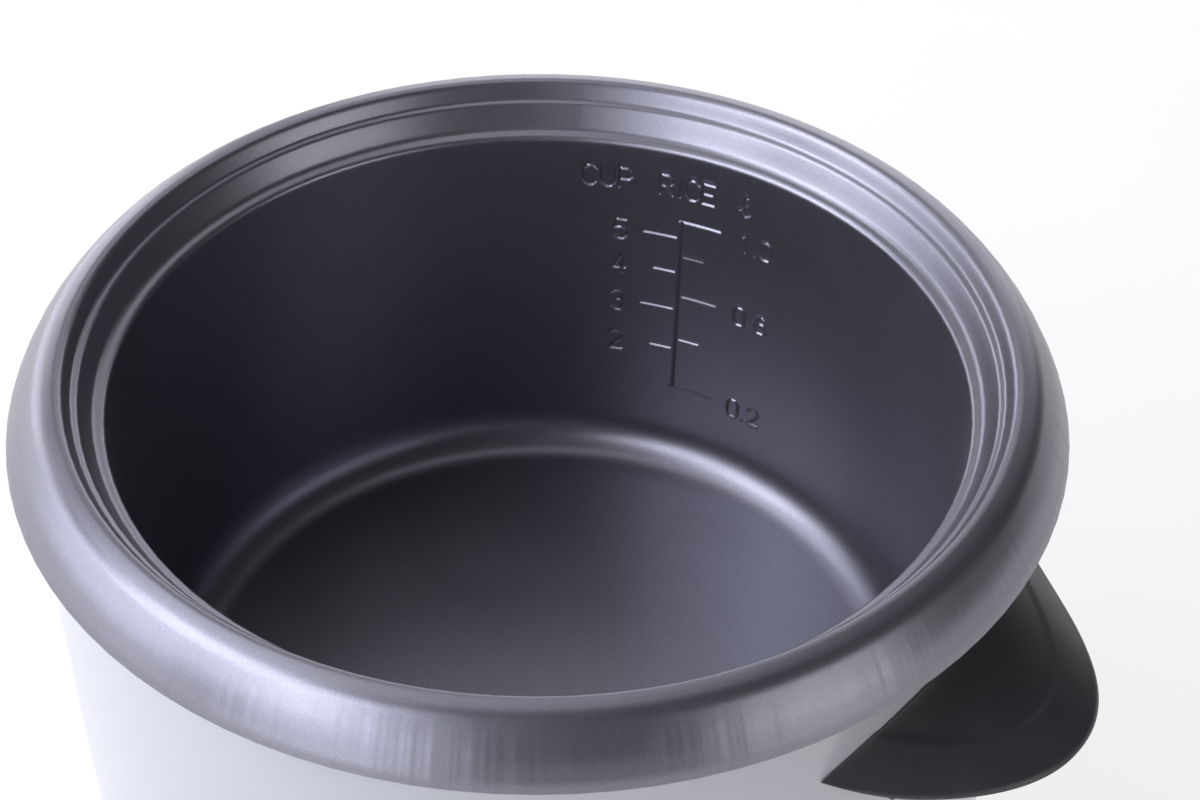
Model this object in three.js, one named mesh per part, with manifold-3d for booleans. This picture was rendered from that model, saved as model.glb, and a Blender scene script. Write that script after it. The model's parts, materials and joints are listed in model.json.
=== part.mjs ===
// Drum rice cooker: drawn pot in a sheet steel case, heating plate with a magnetic thermostat,
// and a see-saw lever that lifts the magnet and works the switch.
// Millimetres, +Z up. Origin on the table, under the middle of the pot. Front is -Y, handles on X.
import * as THREE from 'three';
import { mergeVertices } from 'three/addons/utils/BufferGeometryUtils.js';
import Module from 'manifold-3d';

const wasm = await Module();
wasm.setup();

// ---- driving dimensions ----
const FIT = 0.3;                // air kept between two fixed pieces
const FREE = 0.5;               // air kept round a moving piece

const MOUTH_R = 100;            // inside radius of the pot's mouth
const POT_DEPTH = 97;           // mouth to floor, inside
const POT_WALL = 1.6;
const POT_DRAFT = 5.8;          // how much narrower the pot is at its floor
const FLOOR_FILLET = 15;
const RIM_REACH = 22.9;         // mouth to the rim's lower edge, sideways
const RIM_RISE = 11.5;          // mouth to the rim's crest
const RIM_DROP = 3.6;           // mouth to the rim's lower edge, down

const FOOT_H = 8;
const FOOT_R = 9;
const BASE_T = 1;
const COMPARTMENT_H = 52;       // room for the switch gear under the well
const SHELL_T = 1;
const SHELL_INSET = 6.2;        // shell's top, inside the rim's lower edge
const SHELL_TAPER = 9.8;        // how much narrower the shell is at its foot
const SHELL_CORNER = 5;
const FLANGE_W = 22;            // shell's turned-in bottom flange
const LINER_T = 0.7;
const LINER_DRAFT = 4;
const LINER_HOLE_R = 46;

const PLATE_T = 10;             // heating plate
const PLATE_STAND = 10;         // plate's feet above the well's floor
const PLATE_EDGE = 3;           // plate's edge, inside the pot's flat floor
const PLATE_SCREW_R = 60;

const CAP_R = 19.5;             // thermostat's sensor cap
const CAP_T = 1;
const CAP_H = 10.5;
const BARREL_R = 13;
const BARREL_T = 1;
const BARREL_L = 30;
const FERRITE_R = 8.5;
const FERRITE_T = 6;
const MAGNET_T = 5;
const SENSOR_TRAVEL = 1.5;             // how far the sensor cap goes down below a seated pot
const ROD_R = 3.5;
const WIRE_R = 0.45;            // spring wire

const LEVER_Z = 34;             // lever's height above the table
const LEVER_ARM = 50;           // pivot to magnet rod
const LEVER_ANGLE = 5.5;        // degrees, from warm to cook
const LEVER_W = 10;
const LEVER_T = 2;
const PIN_R = 2;
const CHEEK_T = 1.3;            // switch frame's sheet
const PADDLE_W = 24;
const PADDLE_H = 17;
const PADDLE_T = 5;

const PANEL_W = 66;
const PANEL_H = 40;
const PANEL_T = 2.5;
const PANEL_Z = 38;
const LAMP_R = 3;
const LAMP_ANGLE = 11;          // degrees either side of the front
const LAMP_Z = 50;

const INLET_W = 27;
const INLET_H = 19;
const INLET_DEPTH = 16;
const INLET_Z = 31;

const HANDLE_REACH = 29.5;        // handle's edge, out from the shell
const HANDLE_HALF = 45;         // half its width, tip to middle
const HANDLE_DROP = 30;         // its edge, below the mouth
const HANDLE_T = 2.6;
const SCREW_R = 1.9;
const HEAD_R = 3.6;
const HEAD_H = 2.2;

const ROUND = 40;               // sides of the large round pieces
const SMALL_ROUND = 20;
const SCREW_ROUND = 8;

// ---- heights and radii that follow from them ----
const rad = THREE.MathUtils.degToRad;
const BASE_TOP = FOOT_H + BASE_T;
const LINER_Z = BASE_TOP + COMPARTMENT_H;
const LINER_FLOOR = LINER_Z + LINER_T;
const PLATE_Z = LINER_FLOOR + FIT + PLATE_STAND;
const PLATE_TOP = PLATE_Z + PLATE_T;
const POT_FLOOR = PLATE_TOP + FIT + POT_WALL;
const MOUTH_Z = POT_FLOOR + POT_DEPTH;
const POT_FLOOR_R = MOUTH_R - POT_DRAFT;
const PLATE_R = POT_FLOOR_R - FLOOR_FILLET - PLATE_EDGE;
const SHELL_R = MOUTH_R + RIM_REACH - SHELL_INSET;
const SHELL_Z = BASE_TOP + FIT;
const SHELL_BOTTOM_R = SHELL_R - SHELL_TAPER;
const SHELL_TOP = MOUTH_Z + RIM_RISE - POT_WALL - 2;
const LIP_R = MOUTH_R + 9.4;
const LINER_R = LIP_R - 1.2;
const BASE_R = SHELL_BOTTOM_R - SHELL_CORNER - FIT;
const FOOT_RING_R = BASE_R - FOOT_R - 2;
const MAGNET_LIFT = LEVER_ARM * rad(LEVER_ANGLE);
const FERRITE_Z = PLATE_TOP - CAP_T - FIT - FERRITE_T;
const MAGNET_Z = FERRITE_Z - SENSOR_TRAVEL - FIT - MAGNET_LIFT - MAGNET_T;
const PIVOT_Y = -LEVER_ARM;

function shellRadius(z) {
  const drop = (MOUTH_Z - z) / (MOUTH_Z - SHELL_Z);
  return SHELL_R - SHELL_TAPER * Math.max(drop, 0) ** 1.7;
}

// ---- finishes ----
function finish(color, roughness, metalness) {
  return new THREE.MeshStandardMaterial({ color, roughness, metalness });
}

const COATED = finish(0x3a3a42, 0.42, 0.75);
const WHITE_PAINT = finish(0xe9e9f0, 0.3, 0);
const BLACK_PLASTIC = finish(0x1d1d20, 0.45, 0);
const ALUMINIUM = finish(0xb9bbc0, 0.38, 1);
const STEEL = finish(0x9a9da3, 0.35, 1);
const FERRITE = finish(0x2b2b2d, 0.6, 0.3);
const CERAMIC = finish(0xe8e2d4, 0.5, 0);
const BRASS = finish(0xb8974a, 0.35, 1);
const AMBER = finish(0xe07a12, 0.2, 0);
const RED = finish(0xc8201a, 0.2, 0);
const GLASS = finish(0xdfe3e6, 0.1, 0);
const WIRE_SLEEVE = finish(0xd8d4cc, 0.6, 0);

// ---- geometry helpers ----

// Merges seams and turns the faces outward.
function closed(geometry) {
  const bare = geometry.clone();
  bare.deleteAttribute('normal');
  bare.deleteAttribute('uv');
  const merged = mergeVertices(bare, 1e-4);
  const p = merged.attributes.position;
  const faces = merged.index.array;
  const a = new THREE.Vector3();
  const b = new THREE.Vector3();
  const c = new THREE.Vector3();
  const kept = [];
  let volume = 0;
  for (let i = 0; i < faces.length; i += 3) {
    const [u, v, w] = [faces[i], faces[i + 1], faces[i + 2]];
    if (u === v || v === w || w === u) continue;
    kept.push(u, v, w);
    a.fromBufferAttribute(p, u);
    b.fromBufferAttribute(p, v);
    c.fromBufferAttribute(p, w);
    volume += a.dot(b.cross(c));
  }
  merged.setIndex(volume < 0 ? kept.reverse() : kept);
  return merged;
}

function solidOf(geometry) {
  const g = closed(geometry);
  const vertProperties = new Float32Array(g.attributes.position.array);
  const triVerts = new Uint32Array(g.index.array);
  return new wasm.Manifold(new wasm.Mesh({ numProp: 3, vertProperties, triVerts }));
}

function geometryOf(solid) {
  const mesh = solid.getMesh();
  const g = new THREE.BufferGeometry();
  g.setAttribute('position', new THREE.BufferAttribute(new Float32Array(mesh.vertProperties), 3));
  g.setIndex(new THREE.BufferAttribute(new Uint32Array(mesh.triVerts), 1));
  return g;
}

function cut(geometry, tools) {
  let solid = solidOf(geometry);
  for (const tool of tools) solid = solid.subtract(solidOf(tool));
  return geometryOf(solid);
}

function join(geometries) {
  let solid = solidOf(geometries[0]);
  for (const other of geometries.slice(1)) solid = solid.add(solidOf(other));
  return geometryOf(solid);
}

function common(first, second) {
  return geometryOf(solidOf(first).intersect(solidOf(second)));
}

// Turns an (r, z) outline about the Z axis. It starts and ends on the axis, or is closed here.
function revolve(outline, sides = ROUND) {
  const points = outline.map(([r, z]) => new THREE.Vector2(r, z));
  const last = points.at(-1);
  if (points[0].x > 0 || last.x > 0) points.push(points[0].clone());
  return closed(new THREE.LatheGeometry(points, sides).rotateX(Math.PI / 2));
}

// Outline of a sheet of even thickness: the line given is one face, the other lies to its right.
function sheet(line, thickness) {
  const points = line.map(([r, z]) => new THREE.Vector2(r, z));
  const back = points.map((point, i) => {
    const before = point.clone().sub(points[Math.max(i - 1, 0)]).normalize();
    const after = points[Math.min(i + 1, points.length - 1)].clone().sub(point).normalize();
    if (i === 0) before.copy(after);
    if (i === points.length - 1) after.copy(before);
    const along = before.clone().add(after).normalize();
    const stretch = thickness / Math.max(Math.abs(along.dot(after)), 0.5);
    return [point.x + along.y * stretch, point.y - along.x * stretch];
  });
  return [...line, ...back.reverse()];
}

// Points of a round corner, from one angle to the other in degrees.
function arc(r, z, radius, from, to, steps) {
  return Array.from({ length: steps + 1 }, (_, i) => {
    const angle = rad(from + ((to - from) * i) / steps);
    return [r + radius * Math.cos(angle), z + radius * Math.sin(angle)];
  });
}

function block(x0, x1, y0, y1, z0, z1) {
  const g = new THREE.BoxGeometry(x1 - x0, y1 - y0, z1 - z0);
  return g.translate((x0 + x1) / 2, (y0 + y1) / 2, (z0 + z1) / 2);
}

function post(radius, x, y, z0, z1, sides = SMALL_ROUND) {
  const g = new THREE.CylinderGeometry(radius, radius, z1 - z0, sides);
  return g.rotateX(Math.PI / 2).translate(x, y, (z0 + z1) / 2);
}

function crossPin(radius, x0, x1, y, z, sides = SMALL_ROUND) {
  const g = new THREE.CylinderGeometry(radius, radius, x1 - x0, sides);
  return g.rotateZ(Math.PI / 2).translate((x0 + x1) / 2, y, z);
}

// A round peg that points out from the axis, at an angle from the front.
function radialPeg(radius, from, to, degrees, z) {
  const g = new THREE.CylinderGeometry(radius, radius, to - from, SMALL_ROUND);
  return g.translate(0, -(from + to) / 2, 0).rotateZ(rad(degrees)).translate(0, 0, z);
}

// A rounded rectangle seen from the front, run from the axis out past the shell.
function frontPrism(width, height, corner, z) {
  const [w, h] = [width / 2, height / 2];
  const shape = new THREE.Shape();
  shape.moveTo(corner - w, -h);
  shape.lineTo(w - corner, -h);
  shape.absarc(w - corner, corner - h, corner, -Math.PI / 2, 0);
  shape.absarc(w - corner, h - corner, corner, 0, Math.PI / 2);
  shape.absarc(corner - w, h - corner, corner, Math.PI / 2, Math.PI);
  shape.absarc(corner - w, corner - h, corner, Math.PI, 1.5 * Math.PI);
  const g = new THREE.ExtrudeGeometry(shape, { depth: 2 * SHELL_R, bevelEnabled: false, curveSegments: 3 });
  return g.rotateX(Math.PI / 2).translate(0, 0, z);
}

// A plate that lies on the shell's front and follows its curve.
function shellPlate(width, height, corner, z, thickness) {
  const steps = 3;
  const heights = Array.from({ length: steps + 1 }, (_, i) => z + height * (i / steps - 0.5));
  const line = heights.map((h) => [shellRadius(h) + FIT + thickness, h]).reverse();
  const ring = revolve(sheet(line, thickness));
  return common(ring, frontPrism(width, height - 2 * FIT, corner, z));
}

// A closed skin over a grid: place(u, v, side) gives each point, side 0 or 1.
function slab(rows, columns, place) {
  const points = [];
  for (const side of [0, 1]) {
    for (let i = 0; i <= rows; i += 1) {
      for (let j = 0; j <= columns; j += 1) points.push(...place(i / rows, j / columns, side));
    }
  }
  const width = columns + 1;
  const half = (rows + 1) * width;
  const at = (i, j, side) => side * half + i * width + j;
  const faces = [];
  const quad = (a, b, c, d) => faces.push(a, b, c, a, c, d);
  for (let i = 0; i < rows; i += 1) {
    for (let j = 0; j < columns; j += 1) {
      quad(at(i, j, 1), at(i + 1, j, 1), at(i + 1, j + 1, 1), at(i, j + 1, 1));
      quad(at(i, j, 0), at(i, j + 1, 0), at(i + 1, j + 1, 0), at(i + 1, j, 0));
    }
    quad(at(i, 0, 0), at(i + 1, 0, 0), at(i + 1, 0, 1), at(i, 0, 1));
    quad(at(i, columns, 1), at(i + 1, columns, 1), at(i + 1, columns, 0), at(i, columns, 0));
  }
  for (let j = 0; j < columns; j += 1) {
    quad(at(0, j, 1), at(0, j + 1, 1), at(0, j + 1, 0), at(0, j, 0));
    quad(at(rows, j, 0), at(rows, j + 1, 0), at(rows, j + 1, 1), at(rows, j, 1));
  }
  const g = new THREE.BufferGeometry();
  g.setAttribute('position', new THREE.Float32BufferAttribute(points, 3));
  g.setIndex(faces);
  return closed(g);
}

// A round wire or cable along a curve.
function wire(curve, radius, steps, sides) {
  const shape = new THREE.Shape().absarc(0, 0, radius, 0, 2 * Math.PI);
  return new THREE.ExtrudeGeometry(shape, { steps, curveSegments: sides, extrudePath: curve });
}

class Helix extends THREE.Curve {
  constructor(radius, z0, z1, turns) {
    super();
    Object.assign(this, { radius, z0, z1, turns });
  }

  getPoint(t, target = new THREE.Vector3()) {
    const angle = 2 * Math.PI * this.turns * t;
    const z = THREE.MathUtils.lerp(this.z0, this.z1, t);
    return target.set(this.radius * Math.cos(angle), this.radius * Math.sin(angle), z);
  }
}

function spring(radius, z0, z1, turns) {
  return wire(new Helix(radius, z0 + WIRE_R, z1 - WIRE_R, turns), WIRE_R, turns * 12, 2);
}

// A screw with its shank down and the underside of its head at the origin.
function screw(length) {
  const outline = [[0, -length], [SCREW_R, -length], [SCREW_R, 0], [HEAD_R, 0]];
  outline.push([HEAD_R, HEAD_H * 0.5], [HEAD_R * 0.7, HEAD_H], [0, HEAD_H]);
  return revolve(outline, SCREW_ROUND);
}

const cooker = new THREE.Group();

function assembly() {
  const group = new THREE.Group();
  cooker.add(group);
  return group;
}

function add(group, name, geometry, material) {
  const mesh = new THREE.Mesh(closed(geometry), material);
  mesh.name = name;
  group.add(mesh);
  return mesh;
}

// ---- pot ----

function potSection() {
  const wallSlope = POT_DRAFT / POT_DEPTH;
  const lean = THREE.MathUtils.radToDeg(Math.atan(wallSlope));
  const filletR = POT_FLOOR_R + FLOOR_FILLET * wallSlope - FLOOR_FILLET;
  const line = [[0, POT_FLOOR], ...arc(filletR, POT_FLOOR + FLOOR_FILLET, FLOOR_FILLET, -90, -lean, 5)];
  const rim = [[0, 0], [3.9, 1.1], [5, 3.4], [5.6, 6.8], [6.6, 8.2], [8, 10.9], [9.3, RIM_RISE]];
  rim.push([12.2, 11.1], [15.3, 9.9], [18.3, 7], [20.7, 3], [RIM_REACH, -RIM_DROP]);
  for (const [out, up] of rim) line.push([MOUTH_R + out, MOUTH_Z + up]);
  return sheet(line, POT_WALL);
}

function buildPot() {
  add(assembly(), 'inner_pot', revolve(potSection()), COATED);
}

// ---- case ----

function shellSection() {
  const cornerR = SHELL_BOTTOM_R - SHELL_CORNER;
  const line = [[SHELL_BOTTOM_R - FLANGE_W, SHELL_Z]];
  line.push(...arc(cornerR, SHELL_Z + SHELL_CORNER, SHELL_CORNER, -90, 0, 3));
  const steps = 5;
  const [low, high] = [SHELL_Z + SHELL_CORNER * 2, MOUTH_Z];
  for (let i = 0; i <= steps; i += 1) {
    const z = THREE.MathUtils.lerp(low, high, i / steps);
    line.push([shellRadius(z), z]);
  }
  const corner = SHELL_TOP - MOUTH_Z - 1;
  line.push(...arc(SHELL_R - corner, SHELL_TOP - corner, corner, 0, 90, 4));
  line.push([LIP_R, SHELL_TOP]);
  return sheet(line.reverse(), SHELL_T);
}

function aroundFeet(place) {
  return [45, 135, 225, 315].map((degrees, i) => {
    const angle = rad(degrees);
    return place(FOOT_RING_R * Math.cos(angle), FOOT_RING_R * Math.sin(angle), i + 1);
  });
}

const footHoles = () => aroundFeet((x, y) => post(SCREW_R + FIT, x, y, 0, SHELL_Z + 4, SCREW_ROUND));

const HANDLE_SCREW_T = 16;
const HANDLE_SCREW_Z = MOUTH_Z - HANDLE_DROP - 7;

function handleScrewHoles(reach) {
  return [-1, 1].map((side) => {
    const hole = new THREE.CylinderGeometry(SCREW_R + FIT, SCREW_R + FIT, 2 * reach, SCREW_ROUND);
    return hole.rotateZ(Math.PI / 2).translate(0, side * HANDLE_SCREW_T, HANDLE_SCREW_Z);
  });
}

// The slot leaves room for the paddle's stem at both ends of its travel.
const STEM_W = LEVER_W;
const STEM_H = 7;
const STEM_DROP = (SHELL_R - LEVER_ARM) * rad(LEVER_ANGLE);

function paddleSlot() {
  const [w, h] = [STEM_W / 2 + FREE, STEM_H / 2 + FREE];
  return block(-w, w, -2 * SHELL_R, PIVOT_Y, LEVER_Z - h - STEM_DROP, LEVER_Z + h);
}

function lampHoles() {
  return [-1, 1].map((side) => radialPeg(LAMP_R + FIT, LEVER_ARM, 2 * SHELL_R, side * LAMP_ANGLE, LAMP_Z));
}

function buildCase() {
  const group = assembly();
  const inletHole = block(
    -INLET_W / 2 - FIT, INLET_W / 2 + FIT, LEVER_ARM, 2 * SHELL_R,
    INLET_Z - INLET_H / 2 - FIT, INLET_Z + INLET_H / 2 + FIT,
  );
  const tools = [paddleSlot(), ...lampHoles(), inletHole, ...handleScrewHoles(2 * SHELL_R), ...footHoles()];
  add(group, 'body_shell', cut(revolve(shellSection()), tools), WHITE_PAINT);

  const vents = Array.from({ length: 12 }, (_, i) => {
    const slot = block(-1.5, 1.5, BASE_R * 0.35, BASE_R * 0.6, 0, 2 * BASE_TOP);
    return slot.rotateZ(rad(15 + 30 * i));
  });
  const disc = revolve([[0, FOOT_H], [BASE_R, FOOT_H], [BASE_R, BASE_TOP], [0, BASE_TOP]]);
  add(group, 'base_plate', cut(disc, [...vents, ...footHoles()]), STEEL);

  const recess = FOOT_H - FIT - 3.2;
  const bore = SCREW_R + FIT;
  const sole = FOOT_R - 1;
  const footLine = [[bore, FOOT_H - FIT], [bore, recess], [HEAD_R + FIT, recess], [HEAD_R + FIT, 0]];
  footLine.push([sole, 0], [FOOT_R, FOOT_H * 0.5], [FOOT_R, FOOT_H - FIT]);
  aroundFeet((x, y, i) => {
    add(group, `foot_${i}`, revolve(footLine, SMALL_ROUND), BLACK_PLASTIC).position.set(x, y, 0);
    const fixing = add(group, `foot_screw_${i}`, screw(FOOT_H - recess + 4), STEEL);
    fixing.position.set(x, y, recess - FIT);
    fixing.rotation.x = Math.PI;
  });
}

// ---- handles ----

function handleEdge(t) {
  const tip = Math.sqrt(SHELL_R ** 2 - HANDLE_HALF ** 2);
  const reach = SHELL_R + HANDLE_REACH;
  return reach - (reach - tip - 1) * (t / HANDLE_HALF) ** 2;
}

function handleRoot(t, z) {
  return Math.sqrt((shellRadius(z) + FIT) ** 2 - t ** 2);
}

// Height of the wing's top where it meets the shell: an arch, low at its tips.
function handleArch(t) {
  return MOUTH_Z - 12.4 - 12.6 * (t / HANDLE_HALF) ** 2;
}

function wing() {
  return slab(14, 4, (u, v, side) => {
    const t = HANDLE_HALF * (2 * u - 1);
    const edgeZ = MOUTH_Z - HANDLE_DROP + HANDLE_T * 0.5;
    const top = THREE.MathUtils.lerp(handleArch(t), edgeZ, v ** 0.9);
    const z = top - (1 - side) * HANDLE_T * (1 - 0.5 * v);
    return [THREE.MathUtils.lerp(handleRoot(t, z), handleEdge(t), v), t, z];
  });
}

function saddle() {
  const low = MOUTH_Z - HANDLE_DROP - 14;
  return slab(8, 2, (u, v, side) => {
    const t = (HANDLE_SCREW_T + 9) * (1 - 2 * u);
    const z = THREE.MathUtils.lerp(low, handleArch(t) - HANDLE_T, v);
    return [handleRoot(t, z) + side * HANDLE_T, t, z];
  });
}

function buildHandles() {
  const boss = (side) => {
    const inner = handleRoot(HANDLE_SCREW_T, HANDLE_SCREW_Z) + HANDLE_T / 2;
    return crossPin(4.2, inner, inner + 9, side * HANDLE_SCREW_T, HANDLE_SCREW_Z, SCREW_ROUND);
  };
  const shape = cut(join([wing(), saddle(), boss(-1), boss(1)]), handleScrewHoles(SHELL_R + 8));
  const group = assembly();
  const screwX = Math.sqrt((SHELL_R - SHELL_T - 1) ** 2 - (HANDLE_SCREW_T + HEAD_R) ** 2) - FREE;
  for (const [name, turn] of [['right', 0], ['left', Math.PI]]) {
    const part = new THREE.Group();
    part.rotation.z = turn;
    group.add(part);
    add(part, `handle_${name}`, shape, BLACK_PLASTIC);
    for (const side of [-1, 1]) {
      const fixing = add(part, `handle_screw_${name}_${side < 0 ? 1 : 2}`, screw(9), STEEL);
      fixing.position.set(screwX, side * HANDLE_SCREW_T, HANDLE_SCREW_Z);
      fixing.rotation.y = -Math.PI / 2;
    }
  }
}

// ---- well and heating plate ----

const PLATE_SCREW_ANGLES = [90, 210, 330];
const BRACKET_SCREW_X = LINER_HOLE_R + 6;
const FRAME_SCREW_Y = -(LINER_HOLE_R + 11);

function onCircle(radius, degrees, place) {
  return degrees.map((angle, i) => place(radius * Math.cos(rad(angle)), radius * Math.sin(rad(angle)), i + 1));
}

function buildWell() {
  const group = assembly();
  const floorR = LINER_R - LINER_DRAFT;
  const corner = 8;
  const line = [[LINER_HOLE_R, LINER_FLOOR]];
  line.push(...arc(floorR - corner, LINER_FLOOR + corner, corner, -90, 0, 4));
  line.push([LINER_R, SHELL_TOP - SHELL_T - 1], [LINER_R + 4.6, SHELL_TOP - SHELL_T - 1]);
  const hole = (x, y) => post(SCREW_R + FIT, x, y, LINER_Z - 5, LINER_FLOOR + 5, SCREW_ROUND);
  const tools = onCircle(PLATE_SCREW_R, PLATE_SCREW_ANGLES, hole);
  tools.push(hole(-BRACKET_SCREW_X, 0), hole(BRACKET_SCREW_X, 0), hole(0, FRAME_SCREW_Y));
  add(group, 'well_liner', cut(revolve(sheet(line, LINER_T)), tools), ALUMINIUM);

  const edge = 2.5;
  const coreR = CAP_R + 1;
  const plateLine = [[coreR, PLATE_TOP], [coreR, PLATE_Z], [PLATE_R - edge, PLATE_Z]];
  plateLine.push([PLATE_R, PLATE_Z + edge], [PLATE_R, PLATE_TOP - edge], [PLATE_R - edge, PLATE_TOP]);
  const foot = (x, y) => post(5, x, y, LINER_FLOOR + FIT, PLATE_Z + 1, SCREW_ROUND);
  const tapped = (x, y) => post(SCREW_R + FIT, x, y, LINER_Z, PLATE_Z + 3, SCREW_ROUND);
  const feet = onCircle(PLATE_SCREW_R, PLATE_SCREW_ANGLES, foot);
  const threads = onCircle(PLATE_SCREW_R, PLATE_SCREW_ANGLES, tapped);
  add(group, 'heating_plate', cut(join([revolve(plateLine), ...feet]), threads), ALUMINIUM);
  onCircle(PLATE_SCREW_R, PLATE_SCREW_ANGLES, (x, y, i) => {
    const fixing = add(group, `plate_screw_${i}`, screw(9), STEEL);
    fixing.position.set(x, y, LINER_Z - FIT);
    fixing.rotation.x = Math.PI;
  });
  [-1, 1].forEach((side, i) => {
    const lead = post(2.6, side * 15, 34, PLATE_Z - FIT - 17, PLATE_Z - FIT, SCREW_ROUND);
    add(group, `heater_terminal_${i + 1}`, lead, CERAMIC);
  });
}

// ---- magnetic thermostat ----

const SPRING_SEAT = LINER_Z - 4;
const BARREL_TOP = PLATE_TOP - CAP_T - FIT;
const COLLAR_Z = BARREL_TOP - 7.5;

function thermostatBracket() {
  const [inner, outer] = [LINER_HOLE_R - 4, LINER_HOLE_R + 12];
  const top = LINER_Z - FIT;
  const t = CHEEK_T;
  const shape = new THREE.Shape();
  shape.moveTo(-outer, top);
  shape.lineTo(-outer, top - t);
  shape.lineTo(-inner - t, top - t);
  shape.lineTo(-inner, SPRING_SEAT - t);
  shape.lineTo(inner, SPRING_SEAT - t);
  shape.lineTo(inner + t, top - t);
  shape.lineTo(outer, top - t);
  shape.lineTo(outer, top);
  shape.lineTo(inner - FIT, top);
  shape.lineTo(inner - t - FIT, SPRING_SEAT);
  shape.lineTo(t + FIT - inner, SPRING_SEAT);
  shape.lineTo(FIT - inner, top);
  const depth = 2 * (BARREL_R + 5);
  const strap = new THREE.ExtrudeGeometry(shape, { depth, bevelEnabled: false });
  strap.rotateX(Math.PI / 2).translate(0, depth / 2, 0);
  const hole = (x) => post(SCREW_R + FIT, x, 0, LINER_Z - 5, LINER_Z + 5, SCREW_ROUND);
  const tools = [post(BARREL_R + FREE, 0, 0, SPRING_SEAT - 5, SPRING_SEAT + 5)];
  return cut(strap, [...tools, hole(-BRACKET_SCREW_X), hole(BRACKET_SCREW_X)]);
}

function buildThermostat() {
  const group = assembly();
  const capLine = [[0, PLATE_TOP], [CAP_R - 1, PLATE_TOP], [CAP_R, PLATE_TOP - 1], [CAP_R, PLATE_TOP - CAP_H]];
  add(group, 'sensor_cap', revolve(sheet(capLine, CAP_T), SMALL_ROUND), ALUMINIUM);

  const bore = BARREL_R - BARREL_T;
  const collar = CAP_R - CAP_T - FREE;
  const barrel = [[bore, BARREL_TOP], [bore, BARREL_TOP - BARREL_L], [BARREL_R, BARREL_TOP - BARREL_L]];
  barrel.push([BARREL_R, COLLAR_Z - 1], [collar, COLLAR_Z - 1], [collar, COLLAR_Z]);
  barrel.push([BARREL_R, COLLAR_Z], [BARREL_R, BARREL_TOP]);
  add(group, 'sensor_barrel', revolve(barrel, SMALL_ROUND), STEEL);
  add(group, 'ferrite_disc', post(FERRITE_R, 0, 0, FERRITE_Z, FERRITE_Z + FERRITE_T), FERRITE);
  add(group, 'magnet', post(FERRITE_R, 0, 0, MAGNET_Z, MAGNET_Z + MAGNET_T), FERRITE);

  const dish = MAGNET_Z - FIT;
  const [yoke, tongue] = [4.5, LEVER_W / 4 + FREE];
  const stalk = revolve([[0, LEVER_Z], [ROD_R, LEVER_Z], [ROD_R, dish - 1.5], [bore - FREE, dish - 1.5],
    [bore - FREE, dish], [0, dish]], SMALL_ROUND);
  const eye = block(-yoke, yoke, -yoke, yoke, LEVER_Z - 5, LEVER_Z + 5);
  const slotH = LEVER_T / 2 + 0.8;
  const slot = block(-tongue, tongue, -2 * yoke, 2 * yoke, LEVER_Z - slotH, LEVER_Z + slotH);
  add(group, 'magnet_carrier', cut(join([stalk, eye]), [slot]), STEEL);

  const coilR = (bore + FERRITE_R) / 2;
  add(group, 'release_spring', spring(coilR, dish + FIT, BARREL_TOP - FIT, 5), STEEL);
  const outerCoil = (BARREL_R + collar) / 2;
  add(group, 'sensor_spring', spring(outerCoil, SPRING_SEAT + FIT, COLLAR_Z - 1 - FIT, 4), STEEL);

  add(group, 'thermostat_bracket', thermostatBracket(), STEEL);
  [-1, 1].forEach((side, i) => {
    add(group, `bracket_screw_${i + 1}`, screw(5), STEEL).position.set(side * BRACKET_SCREW_X, 0, LINER_FLOOR + FIT);
  });
}

// ---- lever and switch ----

const FRAME_W = LEVER_W / 2 + 3;        // inside half width of the switch frame
const SWITCH_Y = PIVOT_Y - 18;
const SWITCH_TOP = LEVER_Z - 4.5;
const RIVET_Z = SWITCH_TOP - 9;

function switchFrame() {
  const out = FRAME_W + CHEEK_T;
  const top = LINER_Z - FIT;
  const plate = block(-out, out, FRAME_SCREW_Y - 6, -LINER_HOLE_R + 1, top - CHEEK_T, top);
  const cheek = (side) => {
    const ear = block(FRAME_W, out, SWITCH_Y - 12, PIVOT_Y + 7, RIVET_Z - 4, top);
    return side < 0 ? ear.rotateZ(Math.PI).translate(0, SWITCH_Y + PIVOT_Y - 5, 0) : ear;
  };
  const tools = [
    crossPin(PIN_R + FIT / 2, -2 * out, 2 * out, PIVOT_Y, LEVER_Z),
    crossPin(SCREW_R, -2 * out, 2 * out, SWITCH_Y - 5, RIVET_Z, SCREW_ROUND),
    post(SCREW_R + FIT, 0, FRAME_SCREW_Y, LINER_Z - 5, LINER_Z + 5, SCREW_ROUND),
  ];
  return cut(join([plate, cheek(-1), cheek(1)]), tools);
}

function leverArm(front) {
  const t = LEVER_T / 2;
  const w = LEVER_W / 2;
  const strip = block(-w, w, front, -LEVER_W, LEVER_Z - t, LEVER_Z + t);
  const tongue = block(-w / 2, w / 2, -LEVER_W - 1, 6, LEVER_Z - t, LEVER_Z + t);
  const hub = crossPin(PIN_R + 2.4, -w, w, PIVOT_Y, LEVER_Z);
  const bore = crossPin(PIN_R + 0.2, -2 * w, 2 * w, PIVOT_Y, LEVER_Z);
  return cut(join([strip, tongue, hub]), [bore]);
}

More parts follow.
